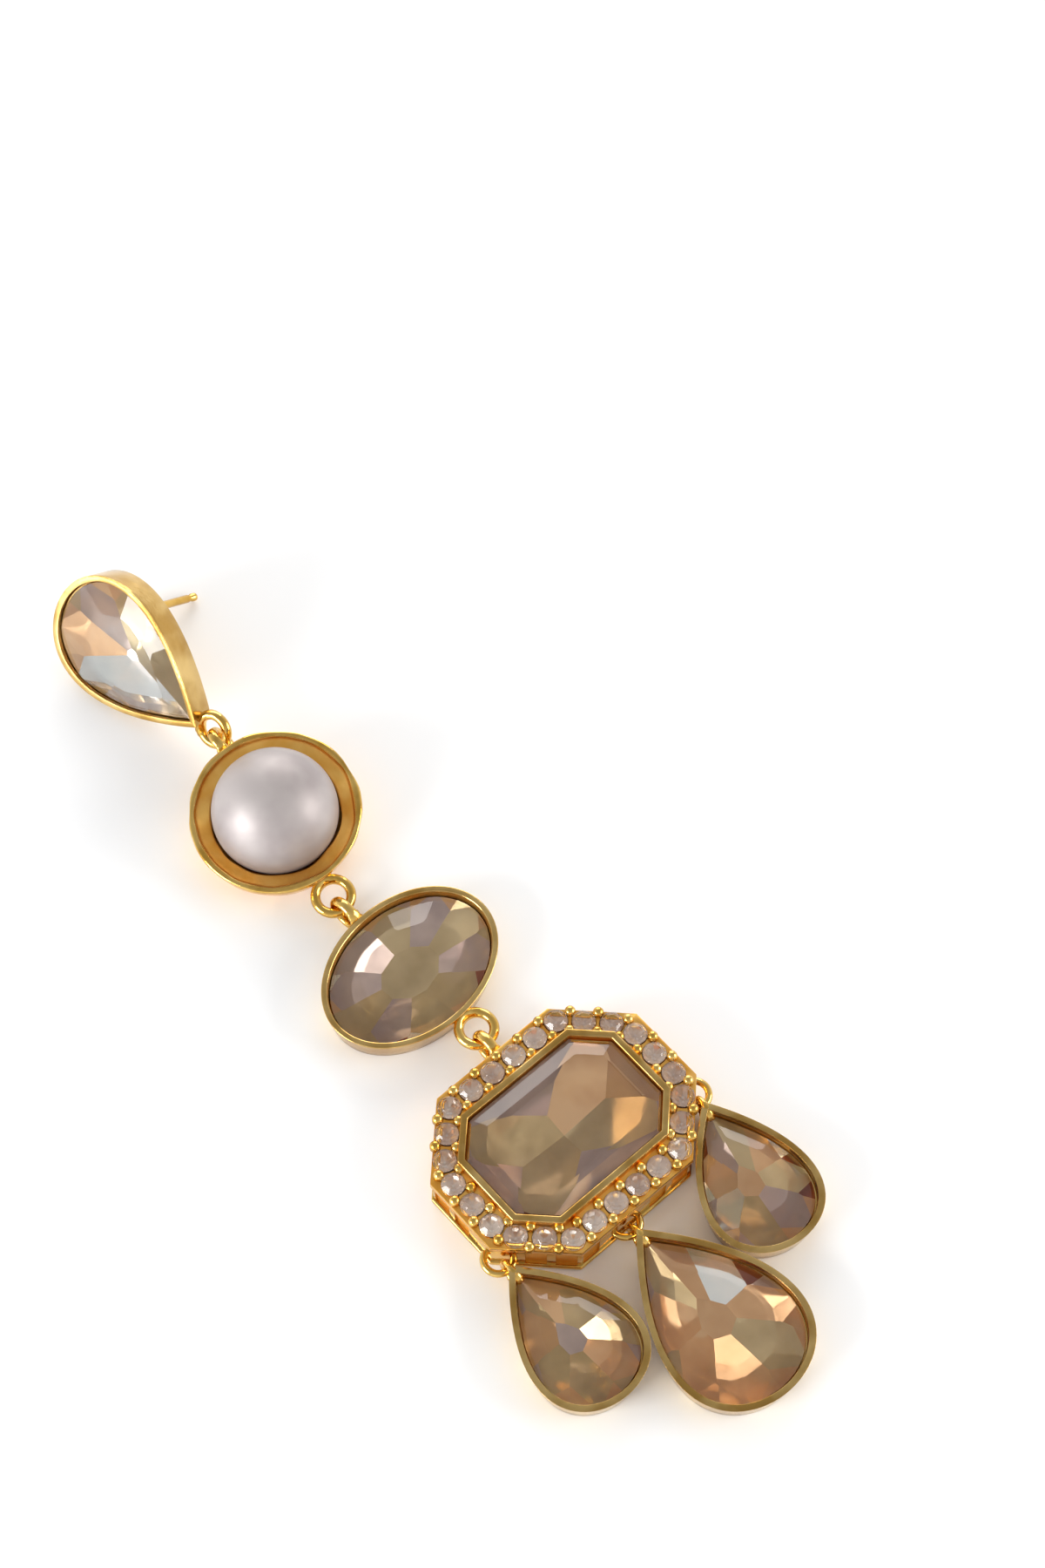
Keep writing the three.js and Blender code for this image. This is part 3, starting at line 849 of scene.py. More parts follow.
@dataclass
class EarPost:
    """Straight post on the back of the stud, with a groove and a rounded tip."""

    diameter: float = 0.85
    length: float = 11.115
    offset: float = 4.6
    lean: float = 12.0
    rooted: float = 0.25
    collar_grow: float = 0.5
    collar_depth: float = 0.25
    # Distance from the tip and growth of each level, from the groove on
    end_levels: tuple[tuple[float, float], ...] = (
        (1.2, 0), (1.05, -0.07), (0.75, -0.07), (0.6, 0), (0.12, 0), (0, -0.14),
    )

    def build(self) -> Piece:
        """Models the post down from a small solder collar.

        Returns:
            The post.
        """
        across = Outline(Shape.OVAL, self.diameter, self.diameter, sides=28)
        post = Form(across, self.collar_grow, self.rooted)
        post.climb((-self.collar_depth, self.collar_grow), (-2 * self.collar_depth, 0))
        post.climb(*[(from_tip - self.length, grow) for from_tip, grow in self.end_levels])
        piece = post.finish("ear_post")
        soften(piece, 0.05, segments=2, angle=25)
        piece.rotation_euler.x = math.radians(self.lean)
        piece.location.y = -self.offset * MM
        fix_place(piece)
        return piece


@dataclass
class BezelCup:
    """Tapered cup with a floor, a ledge under the stone's girdle and a rounded rim."""

    name: str
    outline: Outline
    lie: Lie
    height: float
    girdle_level: float
    rings: list[LinkRing]
    post: EarPost | None = None
    flare: float = 0.55
    floor: float = 0.5
    ledge_width: float = 0.25
    ledge_gap: float = 0.2
    band: float = 0.55
    band_share: float = 0.18
    lip: float = 0.08
    lip_depth: float = 0.5
    rounding: float = 0.16
    polished_top: float = 0.3
    wall_normal: float = 0.7

    def wall(self) -> Piece:
        """Models the cup itself.

        Returns:
            The cup.
        """
        ledge = self.girdle_level - self.ledge_gap
        form = Form(self.outline, BEZEL_WALL - self.flare, 0)
        form.climb(
            (self.height * 0.5, BEZEL_WALL - self.flare * 0.5),
            (self.height - self.band, BEZEL_WALL - self.flare * self.band_share),
            (self.height, BEZEL_WALL),
            (self.height, self.lip),
            (self.height - self.lip_depth, 0),
            (ledge, 0),
            (ledge, -self.ledge_width),
            (self.floor, -self.ledge_width),
        )
        cup = form.finish(f"{self.name}_bezel")
        soften(cup, self.rounding)
        return cup

    def build(self, palette: Palette) -> None:
        """Models the cup with all that is soldered to it, and lays it in its place.

        Args:
            palette: the materials.
        """
        cup = self.wall()
        dress(cup, *palette.golds)
        for face in cup.data.polygons:
            inward = face.normal.dot(face.center) < 0 and abs(face.normal.z) < self.wall_normal
            # Inward wall faces below the polished top take the satin gold, whose lighter base paints light
            # into the cup's shaded inside
            face.material_index = int(inward and face.center.z < (self.height - self.polished_top) * MM)
        soldered = [ring.build() for ring in self.rings]
        if self.post is not None:
            soldered.append(self.post.build())
        for part in soldered:
            dress(part, palette.bright_gold)
        cup = join([cup, *soldered], f"{self.name}_bezel")
        hand_over(cup, self.lie, f"{self.name}_setting")


def lay_foil(
    stone: Piece,
    glass: Material,
    foils: list[Material],
    girdle_level: float,
    tone: Callable[[Vector, Vector], int],
) -> None:
    """Puts foil behind the facets under a stone's girdle and clear glass on the rest.

    Args:
        stone: the object.
        glass: material of the crown.
        foils: tones of foil.
        girdle_level: height of the girdle.
        tone: gives a facet's tone from its middle, in millimetres, and its normal.
    """
    dress(stone, glass, *foils)
    for face in stone.data.polygons:
        below = face.center.z < girdle_level * MM - CUT_TOLERANCE
        face.material_index = 1 + tone(face.center / MM, face.normal) if below else 0


@dataclass
class CutStone:
    """Brilliant-cut stone with a foiled pavilion, ground facet by facet from a block."""

    name: str
    outline: Outline
    lie: Lie
    girdle_level: float
    crown: float = 0.5
    pavilion: float = 1.5
    table_share: float = 0.6
    culet_share: float = 0.1
    slot: Slot = Slot.CRYSTAL
    girdle: float = 0.2
    mains: int = 8
    crown_break: float = 1.4
    pavilion_break: float = 1.22
    star_inset: float = 0.97
    star_slope: float = 0.75
    facet_play: float = 2.5
    # Middle of the painted window reflection on the foil, and how far it reaches
    painted_glint_spot: tuple[float, float] | None = None
    painted_glint_reach: float = 4.3
    steep_share: float = 0.94
    tone_offset: float = 0.13
    seed: int = 3

    def ring_of_facets(
        self, count: int, level: float, drop: float, share: float, steepness: float = 1.0
    ) -> None:
        """Cuts a ring of facets that run in from a level of the outline.

        Args:
            count: number of facets.
            level: height where the facets meet the full outline.
            drop: height from that level to the facets' inner ends, below zero for a pavilion.
            share: share of the outline that the inner ends reach.
            steepness: factor on the slope.
        """
        chance = random.Random(self.seed + count)
        play = math.radians(self.facet_play) if drop < 0 else 0.0
        for index in range(count):
            turn = (index + 0.5) / count * math.tau
            edge, out = self.outline.point(turn), self.outline.outward(turn)
            inward = edge.dot(out) * (1 - share)
            normal = out * abs(drop) * steepness + Vector((0, 0, math.copysign(inward, drop)))
            normal.rotate(Matrix.Rotation(chance.uniform(-play, play), 3, "Z"))
            slice_off(edge + Vector((0, 0, level)), normal)

    def star_facets(self, top: float) -> None:
        """Cuts the low facets between the table and the main facets.

        Args:
            top: height of the girdle's upper edge.
        """
        for index in range(self.mains):
            turn = index / self.mains * math.tau
            out = self.outline.outward(turn)
            edge = self.outline.point(turn) * (self.table_share * self.star_inset)
            inward = edge.dot(out) * (1 - self.table_share)
            normal = out * self.crown * self.star_slope + Vector((0, 0, inward))
            slice_off(edge + Vector((0, 0, top + self.crown)), normal)

    def cut(self) -> Piece:
        """Models the stone at the middle of its setting.

        Returns:
            The stone.
        """
        low, top = self.girdle_level, self.girdle_level + self.girdle
        block = Form(self.outline, 0, low - self.pavilion)
        block.lift(top + self.crown, 0)
        self.ring_of_facets(self.mains, top, self.crown, self.table_share)
        self.ring_of_facets(2 * self.mains, top, self.crown, self.table_share, self.crown_break)
        self.star_facets(top)
        self.ring_of_facets(self.mains, low, -self.pavilion, self.culet_share)
        self.ring_of_facets(2 * self.mains, low, -self.pavilion, self.culet_share, self.pavilion_break)
        return block.finish(f"{self.name}_crystal")

    def tone(self, middle: Vector, out: Vector) -> int:
        """Tone of a facet: near-white foil that paints a window's reflection within reach of the spot,
        else a tone by its place round the stone, partly painted reflection.

        Args:
            middle: the facet's middle, in millimetres.
            out: its normal.

        Returns:
            The tone.
        """
        spot = self.painted_glint_spot
        # Painted reflection of a window: near-white foil within reach of the spot
        if spot is not None and (middle.xy - Vector(spot)).length < self.painted_glint_reach:
            return Tone.PAINTED_GLINT
        steep = abs(out.z) < self.steep_share
        step = round(math.atan2(middle.y, middle.x) / math.tau * 4 * self.mains + self.tone_offset)
        chance = random.Random(1000 * self.seed + 2 * step + steep)
        return chance.choice(STEEP_TONES if steep else FLAT_TONES)

    def foil(self, stone: Piece, palette: Palette) -> None:
        """Puts the foil on the pavilion and clear glass on the rest.

        Args:
            stone: the object.
            palette: the materials.
        """
        if self.slot is Slot.SMALL_CRYSTAL:
            lay_foil(stone, palette.small_crystal, [palette.small_foil], self.girdle_level, lambda *_: 0)
        else:
            lay_foil(stone, palette.crystal, palette.foils, self.girdle_level, self.tone)

    def build(self, palette: Palette) -> None:
        """Models the stone and lays it in its place.

        Args:
            palette: the materials.
        """
        stone = self.cut()
        self.foil(stone, palette)
        hand_over(stone, self.lie, f"{self.name}_stone")


@dataclass
class OctagonStone:
    """Emerald-cut octagon, stepped above and below its girdle."""

    lie: Lie
    width: float = 18.0
    length: float = 12.5
    corner: float = 2.85
    girdle_level: float = 5.1
    girdle: float = 0.2
    crown_steps: tuple[tuple[float, float], ...] = ((0.3, 0.1), (1.4, 0.5))
    pavilion_depth: float = 3.9
    edge_slope: float = 0.95
    side_slope: float = 0.66
    end_slope: float = 0.56
    corner_slope: float = 0.6
    step_depth: float = 0.55
    corner_depth: float = 0.5
    diamond_rise: float = 2.1
    flat_normal: float = 0.9
    square_normal: float = 0.05
    peach_from: float = 5.0

    def pavilion_planes(self) -> list[tuple[Vector, Vector]]:
        """Planes of the facets under the girdle.

        Returns:
            A point below the girdle and the outward normal of each plane.
        """
        half_width, half_length = self.width / 2, self.length / 2
        planes = []
        for side in (-1, 1):
            for start, slope in ((0.0, self.edge_slope), (self.step_depth, self.side_slope)):
                planes.append((Vector((0, side * half_length, -start)), Vector((0, side * slope, -1))))
            for start, slope in ((0.0, self.edge_slope), (self.step_depth, self.end_slope)):
                planes.append((Vector((side * half_width, 0, -start)), Vector((side * slope, 0, -1))))
            for across in (-1, 1):
                corner = Vector(
                    (across * half_width, side * (half_length - self.corner), -self.corner_depth)
                )
                out = Vector((across, side, 0)).normalized()
                planes.append((corner, out * self.corner_slope - Vector((0, 0, 1))))
                rise = self.diamond_rise
                tilt = Vector((across * rise / half_width, side * rise / half_length, -1))
                planes.append((Vector((0, 0, -self.pavilion_depth)), tilt))
        return planes

    def tone(self, middle: Vector, out: Vector) -> int:
        """Tone of a facet under the girdle, laid by quadrant as painted reflection: lighter peach to the
        upper right, darker russet to the lower left.

        Args:
            middle: the facet's middle, in millimetres.
            out: its normal.

        Returns:
            The tone.
        """
        # Quadrant tones paint the reflections: peach to the upper right, russet to the lower left
        upper_right = middle.x > 0 and middle.y > 0
        if out.z < -self.flat_normal:
            return Tone.PEACH if upper_right else Tone.OLIVE
        if min(abs(out.x), abs(out.y)) < self.square_normal:
            return Tone.PEACH if middle.x > self.peach_from else Tone.MAUVE
        if middle.x < 0 and middle.y < 0:
            return Tone.RUSSET
        return Tone.PEACH if upper_right else Tone.MAUVE

    def build(self, palette: Palette) -> None:
        """Models the stone and lays it in its place.

        Args:
            palette: the materials.
        """
        top = self.girdle_level + self.girdle
        low = self.girdle_level - self.pavilion_depth
        stone = cut_corner_block(self.width, self.length, self.corner, low, top)
        pick_level(stone, top)
        for inset, rise in self.crown_steps:
            bpy.ops.mesh.inset(thickness=inset * MM, depth=rise * MM, use_even_offset=True)
        for point, normal in self.pavilion_planes():
            slice_off(point + Vector((0, 0, self.girdle_level)), normal)
        stone = close_form(stone, "octagon_crystal")
        lay_foil(stone, palette.crystal, palette.foils, top, self.tone)
        hand_over(stone, self.lie, "octagon_stone")


@dataclass
class Halo:
    """Octagonal bezel, plate of small stones and open gallery, with four link rings."""

    lie: Lie
    opening_width: float = 18.3
    opening_length: float = 12.8
    corner: float = 2.85
    corner_extra: float = 0.95
    band: float = 3.04
    bezel_height: float = 5.8
    ledge_level: float = 4.9
    ledge_width: float = 0.4
    floor: float = 0.5
    polished_top: float = 0.15
    wall_normal: float = 0.9
    plate_top: float = 4.7
    plate_thickness: float = 0.9
    seat_gap: float = 0.04
    cut_margin: float = 0.5
    rail_height: float = 0.6
    rail_rounding: float = 0.16
    upper_rail_step: float = 0.03
    upper_rail_drop: float = 0.02
    gallery_wall: float = 0.8
    gallery_recess: float = 0.2
    overlap: float = 0.1
    window_width: float = 2.0
    window_spacing: float = 2.6
    lining_depth: float = 0.5
    lining_wall: float = 0.2
    stone_count: int = 26
    stone_diameter: float = 2.3
    stone_rise: float = 0.16
    stone_turn: float = 0.4
    bead_diameter: float = 1.06
    bead_spread: float = 1.18
    ring_places: tuple[tuple[float, float], ...] = ((-1.2, -9.79), (12.305, -4.671), (-12.305, -4.671))
    ring_radius: float = 1.4
    ring_wire: float = 0.36
    ring_height: float = 1.63
    ring_sunk: float = 0.05
    loop_place: tuple[float, float] = (0.8, 11.69)
    loop_radius: float = 1.6

    def grown(self, grow: float, corner_extra: float = 0.0) -> tuple[float, float, float]:
        """Outline of the opening once its sides have moved out.

        Args:
            grow: distance that the sides move out.
            corner_extra: what the corners are cut further.

        Returns:
            Width, length and corner cut.
        """
        return (
            self.opening_width + 2 * grow,
            self.opening_length + 2 * grow,
            self.corner + grow * CORNER_GROWTH + corner_extra,
        )

    def sizes(self, grow: float) -> tuple[float, float, float]:
        """Outer outline of the halo once it is grown: width, length and corner cut."""
        return self.grown(BEZEL_WALL + self.band + grow, self.corner_extra)

    def corners(self, width: float, length: float, corner: float) -> list[Vector]:
        """Corners of a cut-corner outline, counter-clockwise from the right end of the upper right corner.

        Args:
            width: size across.
            length: size along.
            corner: corner cut.

        Returns:
            Eight points.
        """
        x, y = width / 2, length / 2
        places = [
            (x, y - corner), (x - corner, y), (corner - x, y), (-x, y - corner),
            (-x, corner - y), (corner - x, -y), (x - corner, -y), (x, corner - y),
        ]
        return [Vector((px, py, 0)) for px, py in places]

    def stone_places(self) -> list[Vector]:
        """Middles of the small stones, evenly spaced round their path.

        Returns:
            The places, from the middle of the upper side to the left.
        """
        path = self.corners(*self.grown(BEZEL_WALL + self.band / 2, self.corner_extra / 2))
        start = Vector((0, path[1].y, 0))
        stops = [start, *path[2:], *path[:2], start]
        legs = [(b - a).length for a, b in zip(stops, stops[1:])]
        pitch = sum(legs) / self.stone_count
        places = []
        for index in range(self.stone_count):
            left, leg = (index + 0.5) * pitch, 0
            while left > legs[leg]:
                left -= legs[leg]
                leg += 1
            places.append(stops[leg].lerp(stops[leg + 1], left / legs[leg]))
        return places

    def bead_places(self) -> list[Vector]:
        """Places of the beads, one on each side of the row between two stones.

        Returns:
            The places.
        """
        stones = self.stone_places()
        offset = (self.band - self.bead_diameter) / 2
        places = []
        for stone, following in zip(stones, [*stones[1:], stones[0]]):
            along = following - stone
            across = Vector((-along.y, along.x, 0)).normalized()
            middle = (stone + following) / 2
            places += [middle + across * offset, middle - across * offset]
        return places

    def bezel(self) -> Piece:
        """Models the raised octagonal rim with its ledge and floor.

        Returns:
            The bezel.
        """
        tub = cut_corner_block(*self.grown(BEZEL_WALL), 0.0, self.bezel_height)
        pick_level(tub, self.bezel_height)
        bpy.ops.mesh.inset(thickness=BEZEL_WALL * MM, use_even_offset=True)
        sink(self.bezel_height - self.ledge_level)
        bpy.ops.mesh.inset(thickness=self.ledge_width * MM, use_even_offset=True)
        sink(self.ledge_level - self.floor)
        tub = close_form(tub, "halo_bezel")
        soften(tub, 0.14)
        return tub

    def rail(self, low: float, high: float, grow: float, wall: float, rounding: float = 0.0) -> Piece:
        """Models one octagonal ring of the gallery.

        Args:
            low: lowest height.
            high: highest height.
            grow: growth of its outer face from the halo's outline.
            wall: width of the ring.
            rounding: rounding of its edges.

        Returns:
            The ring.
        """
        ring = cut_corner_block(*self.sizes(grow), low, high)
        pick_faces(ring, lambda face: face.normal.z < self.wall_normal)
        bpy.ops.mesh.delete(type="FACE")
        bpy.ops.mesh.select_all(action="SELECT")
        bpy.ops.mesh.inset(thickness=wall * MM, use_even_offset=True)
        bpy.ops.mesh.delete(type="FACE")
        bpy.ops.mesh.select_all(action="SELECT")
        sink(high - low)
        ring = close_form(ring, "gallery_rail")
        if rounding:
            soften(ring, rounding)
        return ring

    def plate(self) -> Piece:
        """Models the plate with a round seat for each small stone, open under the octagon.

        Returns:
            The plate.
        """
        underside = self.plate_top - self.plate_thickness
        plate = close_form(cut_corner_block(*self.sizes(0), underside, self.plate_top), "halo_plate")
        round_seat = Outline(Shape.OVAL, self.stone_diameter, self.stone_diameter, sides=24)
        seat = Form(round_seat, self.seat_gap, underside)
        seat.lift(self.plate_top + self.cut_margin, self.seat_gap)
        cutter = seat.finish("seat")
        cutters = [copy_to(cutter, place) for place in self.stone_places()]
        discard(cutter)
        margin = 2 * self.cut_margin
        opening = cut_corner_block(
            *self.grown(BEZEL_WALL / 2), underside - margin, self.plate_top + margin
        )
        cut_with(plate, [*cutters, close_form(opening, "plate_opening")])
        soften(plate, 0.07, segments=2, angle=50)
        return plate

    def gallery(self) -> Piece:
        """Models the gallery wall between the rails, with its row of windows.

        Returns:
            The wall.
        """
        low = self.rail_height - self.overlap
        high = self.plate_top - self.plate_thickness + self.overlap
        thickness = self.gallery_wall - self.gallery_recess
        wall = self.rail(low, high, -self.gallery_recess, thickness)
        clear_bench()
        window_height = high - low + 2 * self.overlap
        bpy.ops.mesh.primitive_cube_add(
            size=1,
            location=(0, 0, (low + high) / 2 * MM),
            scale=(self.window_width * MM, self.gallery_wall * 4 * MM, window_height * MM),
        )
        window = bpy.context.object
        fix_place(window)
        rings = [Vector((x, y, 0)) for x, y in (*self.ring_places, self.loop_place)]
        clearance = self.ring_radius + WIRE + self.window_width / 2
        cutters = []
        outline = self.corners(*self.sizes(0))
        for corner, following in zip(outline, [*outline[1:], outline[0]]):
            side = following - corner
            count = max(1, math.floor(side.length / self.window_spacing))
            for index in range(count):
                middle = corner.lerp(following, (index + 0.5) / count)
                if all((ring - middle).length > clearance for ring in rings):
                    cutters.append(copy_to(window, middle, math.atan2(side.y, side.x)))
        discard(window)
        cut_with(wall, cutters)
        soften(wall, 0.08, segments=2)
        return wall

    def beads(self) -> Piece:
        """Models the round gold beads that hold the small stones.

        Returns:
            All the beads as one object.
        """
        clear_bench()
        bpy.ops.mesh.primitive_ico_sphere_add(
            subdivisions=3,
            radius=self.bead_diameter / 2 * MM,
            location=(0, 0, (self.plate_top + self.bead_diameter / 4) * MM),
        )
        bead = bpy.context.object
        fix_place(bead)
        edit(bead)
        pick_points(bead, lambda place: place.z / MM < self.plate_top + self.overlap)
        spread = (self.bead_spread, self.bead_spread, 1)
        bpy.ops.transform.resize(value=spread, center_override=(0, 0, self.plate_top * MM))
        take(bead)
        bpy.ops.object.shade_smooth()
        beads = [copy_to(bead, place) for place in self.bead_places()]
        discard(bead)
        return join(beads, "halo_beads")

    def ring(self, x: float, y: float) -> Piece:
        """Models a flat drop ring, trimmed where it would reach into the gallery.

        Args:
            x: place across the chain.
            y: place along the chain.

        Returns:
            The ring.
        """
        flat = LinkRing(
            radius=self.ring_radius, y=y, z=self.ring_height, x=x,
            wire=self.ring_wire, wall_y=y, foot_swell=1.0,
        )
        ring = flat.build()
        width, length, corner = self.sizes(-self.gallery_wall + self.ring_sunk)
        out, on_wall = Vector((0, -1, 0)), Vector((0, -length / 2, 0))
        if abs(x) > self.opening_width / 4:
            side = math.copysign(1, x)
            out = Vector((side, -1, 0)).normalized()
            on_wall = Vector((side * width / 2, corner - length / 2, 0))
        edit(ring)
        slice_off(on_wall, -out)
        clear_bench()
        return ring

    def build(self, palette: Palette) -> None:
        """Models the whole frame and lays it in its place.

        Args:
            palette: the materials.
        """
        loop_x, loop_y = self.loop_place
        under, wall, rounding = self.plate_top - self.rail_height, self.gallery_wall, self.rail_rounding
        lining = self.rail(self.overlap, under - self.overlap, -self.lining_depth, self.lining_wall)
        tub, plate = self.bezel(), self.plate()
        upper_top = self.plate_top - self.upper_rail_drop
        parts = [
            lining,
            tub,
            plate,
            self.gallery(),
            self.rail(0.0, self.rail_height, 0.0, wall, rounding),
            self.rail(under, upper_top, self.upper_rail_step, wall, rounding),
            self.beads(),
            *[self.ring(x, y) for x, y in self.ring_places],
            LinkRing(
                radius=self.loop_radius, y=loop_y, z=LINK_LEVEL, x=loop_x,
                upright=True, wall_y=loop_y - self.loop_radius, band=LOOP_BAND,
            ).build(),
        ]
        for part in parts:
            dress(part, palette.bright_gold)
        # The lining behind the windows and the plate take the satin gold, whose lighter base paints light
        # into the shade under the plate
        for part in (lining, plate):
            dress(part, palette.satin_gold_painted_lighter)
        dress(tub, *palette.golds)
        # Side walls below the polished top take the satin gold with its painted lighter base
        polished_from = (self.bezel_height - self.polished_top) * MM
        for face in tub.data.polygons:
            side_wall = abs(face.normal.z) < self.wall_normal
            face.material_index = int(face.center.z < polished_from and side_wall)
        halo = join(parts, "halo_gold")
        hand_over(halo, self.lie, "halo_frame")

    def set_stones(self, palette: Palette) -> None:
        """Cuts one small brilliant and sets a copy of it in every seat.

        Args:
            palette: the materials.
        """
        round_outline = Outline(Shape.OVAL, self.stone_diameter, self.stone_diameter, sides=16)
        pattern = CutStone(
            "small", round_outline, self.lie, self.plate_top + self.stone_rise,
            crown=0.36, pavilion=0.95, table_share=0.58, slot=Slot.SMALL_CRYSTAL, girdle=0.08,
        )
        brilliant = pattern.cut()
        pattern.foil(brilliant, palette)
        for index, place in enumerate(self.stone_places(), 1):
            stone = copy_to(brilliant, place, self.stone_turn * index)
            stone.name = stone.data.name = f"small_crystal_{index:02d}"
            hand_over(stone, self.lie, f"halo_stone_{index:02d}")
        discard(brilliant)


@dataclass
class PearlSetting:
    """Round dish that flares from a small base to a hammered rim, with the pearl inside."""

    lie: Lie
    diameter: float = 17.0
    height: float = 3.8
    narrowing: float = 1.5
    wall_steps: int = 5
    rim_wall: float = 0.62
    rim_lip: float = 0.55
    rim_flare: float = 0.12
    # Depth below the rim of the slope's foot and of the pearl's seat, and the foot's growth
    slope_depth: float = 0.72
    slope_grow: float = -1.4
    seat_drop: float = 0.78
    floor: float = 0.5
    rounding: float = 0.22
    dent_size: float = 2.4
    dent_depth: float = 0.3
    pearl_diameter: float = 12.5
    pearl_level: float = 3.7
    seat_depth: float = 2.95
    ring: LinkRing = field(
        default_factory=lambda: LinkRing(
            radius=1.75, y=-10.082, z=LINK_LEVEL, wire=RING_WIRE, wall_y=-8.2
        )
    )
    loop: LinkRing = field(
        default_factory=lambda: LinkRing(
            radius=1.4, y=9.82, z=1.7815, upright=True, lean=-17, wall_y=8.3, band=LOOP_BAND
        )
    )

    def grow_at(self, height: float) -> float:
        """Growth of the dish's outer wall at a height, zero at the rim."""
        return -self.narrowing * (1 - min(height / self.height, 1)) ** 2

    def dish(self) -> Piece:
        """Models the dish.

        Returns:
            The dish.
        """
        form = Form(Outline(Shape.OVAL, self.diameter, self.diameter), self.grow_at(0), 0)
        heights = [step / self.wall_steps * self.height for step in range(1, self.wall_steps + 1)]
        form.climb(*[(height, self.grow_at(height)) for height in heights])
        seat = (self.pearl_diameter - self.diameter) / 2 + STONE_GAP
        form.climb(
            (self.height, -self.rim_wall),
            (self.height - self.rim_lip, -self.rim_wall - self.rim_flare),
            (self.height - self.slope_depth, self.slope_grow),
            (self.height - self.seat_drop, seat),
            (self.floor, seat),
        )
        dish = form.finish("pearl_dish")
        soften(dish, self.rounding, segments=4, angle=30)
        hammered = bpy.data.textures.new("hammer_marks", "CLOUDS")
        hammered.noise_scale = self.dent_size * MM
        hammered.noise_depth = 0
        depth = self.dent_depth * MM
        apply_modifier(
            dish, "DISPLACE", texture=hammered, texture_coords="LOCAL", strength=depth, mid_level=0.5
        )
        smooth(dish)
        return dish

    def build(self, palette: Palette) -> None:
        """Models the dish with its ring and loop and lays it in its place.

        Args:
            palette: the materials.
        """
        bowl, ring, loop = self.dish(), self.ring.build(), self.loop.build()
        dress(bowl, *palette.golds)
        for part in (ring, loop):
            dress(part, palette.bright_gold)
        clearance = 0.02
        inside = (self.diameter / 2 - self.rim_wall - clearance) * MM
        base = 0.1 * MM
        # Faces inside the rim take the satin gold, whose lighter base paints light into the dish's shaded
        # inside; the rest is polished gold
        for face in bowl.data.polygons:
            face.material_index = 1 if face.center.xy.length < inside and face.center.z > base else 2
        dish = join([bowl, ring, loop], "pearl_dish")
        hand_over(dish, self.lie, "pearl_setting")

    def build_pearl(self, palette: Palette) -> None:
        """Models the pearl, cut flat underneath, and lays it in the dish.

        Args:
            palette: the materials.
        """
        clear_bench()
        bpy.ops.mesh.primitive_uv_sphere_add(
            segments=96,
            ring_count=48,
            radius=self.pearl_diameter / 2 * MM,
            location=(0, 0, self.pearl_level * MM),
        )
        pearl = bpy.context.object
        fix_place(pearl)
        edit(pearl)
        slice_off(Vector((0, 0, self.pearl_level - self.seat_depth)), Vector((0, 0, -1)))
        close_form(pearl, "grey_pearl")
        smooth(pearl)
        dress(pearl, palette.pearl)
        hand_over(pearl, self.lie, "pearl")


@dataclass(frozen=True)
class DropSite:
    """One pear drop: its side, how it lies, its stone's size and its loop's place."""

    side: str
    lie: Lie
    width: float
    length: float
    loop_y: float


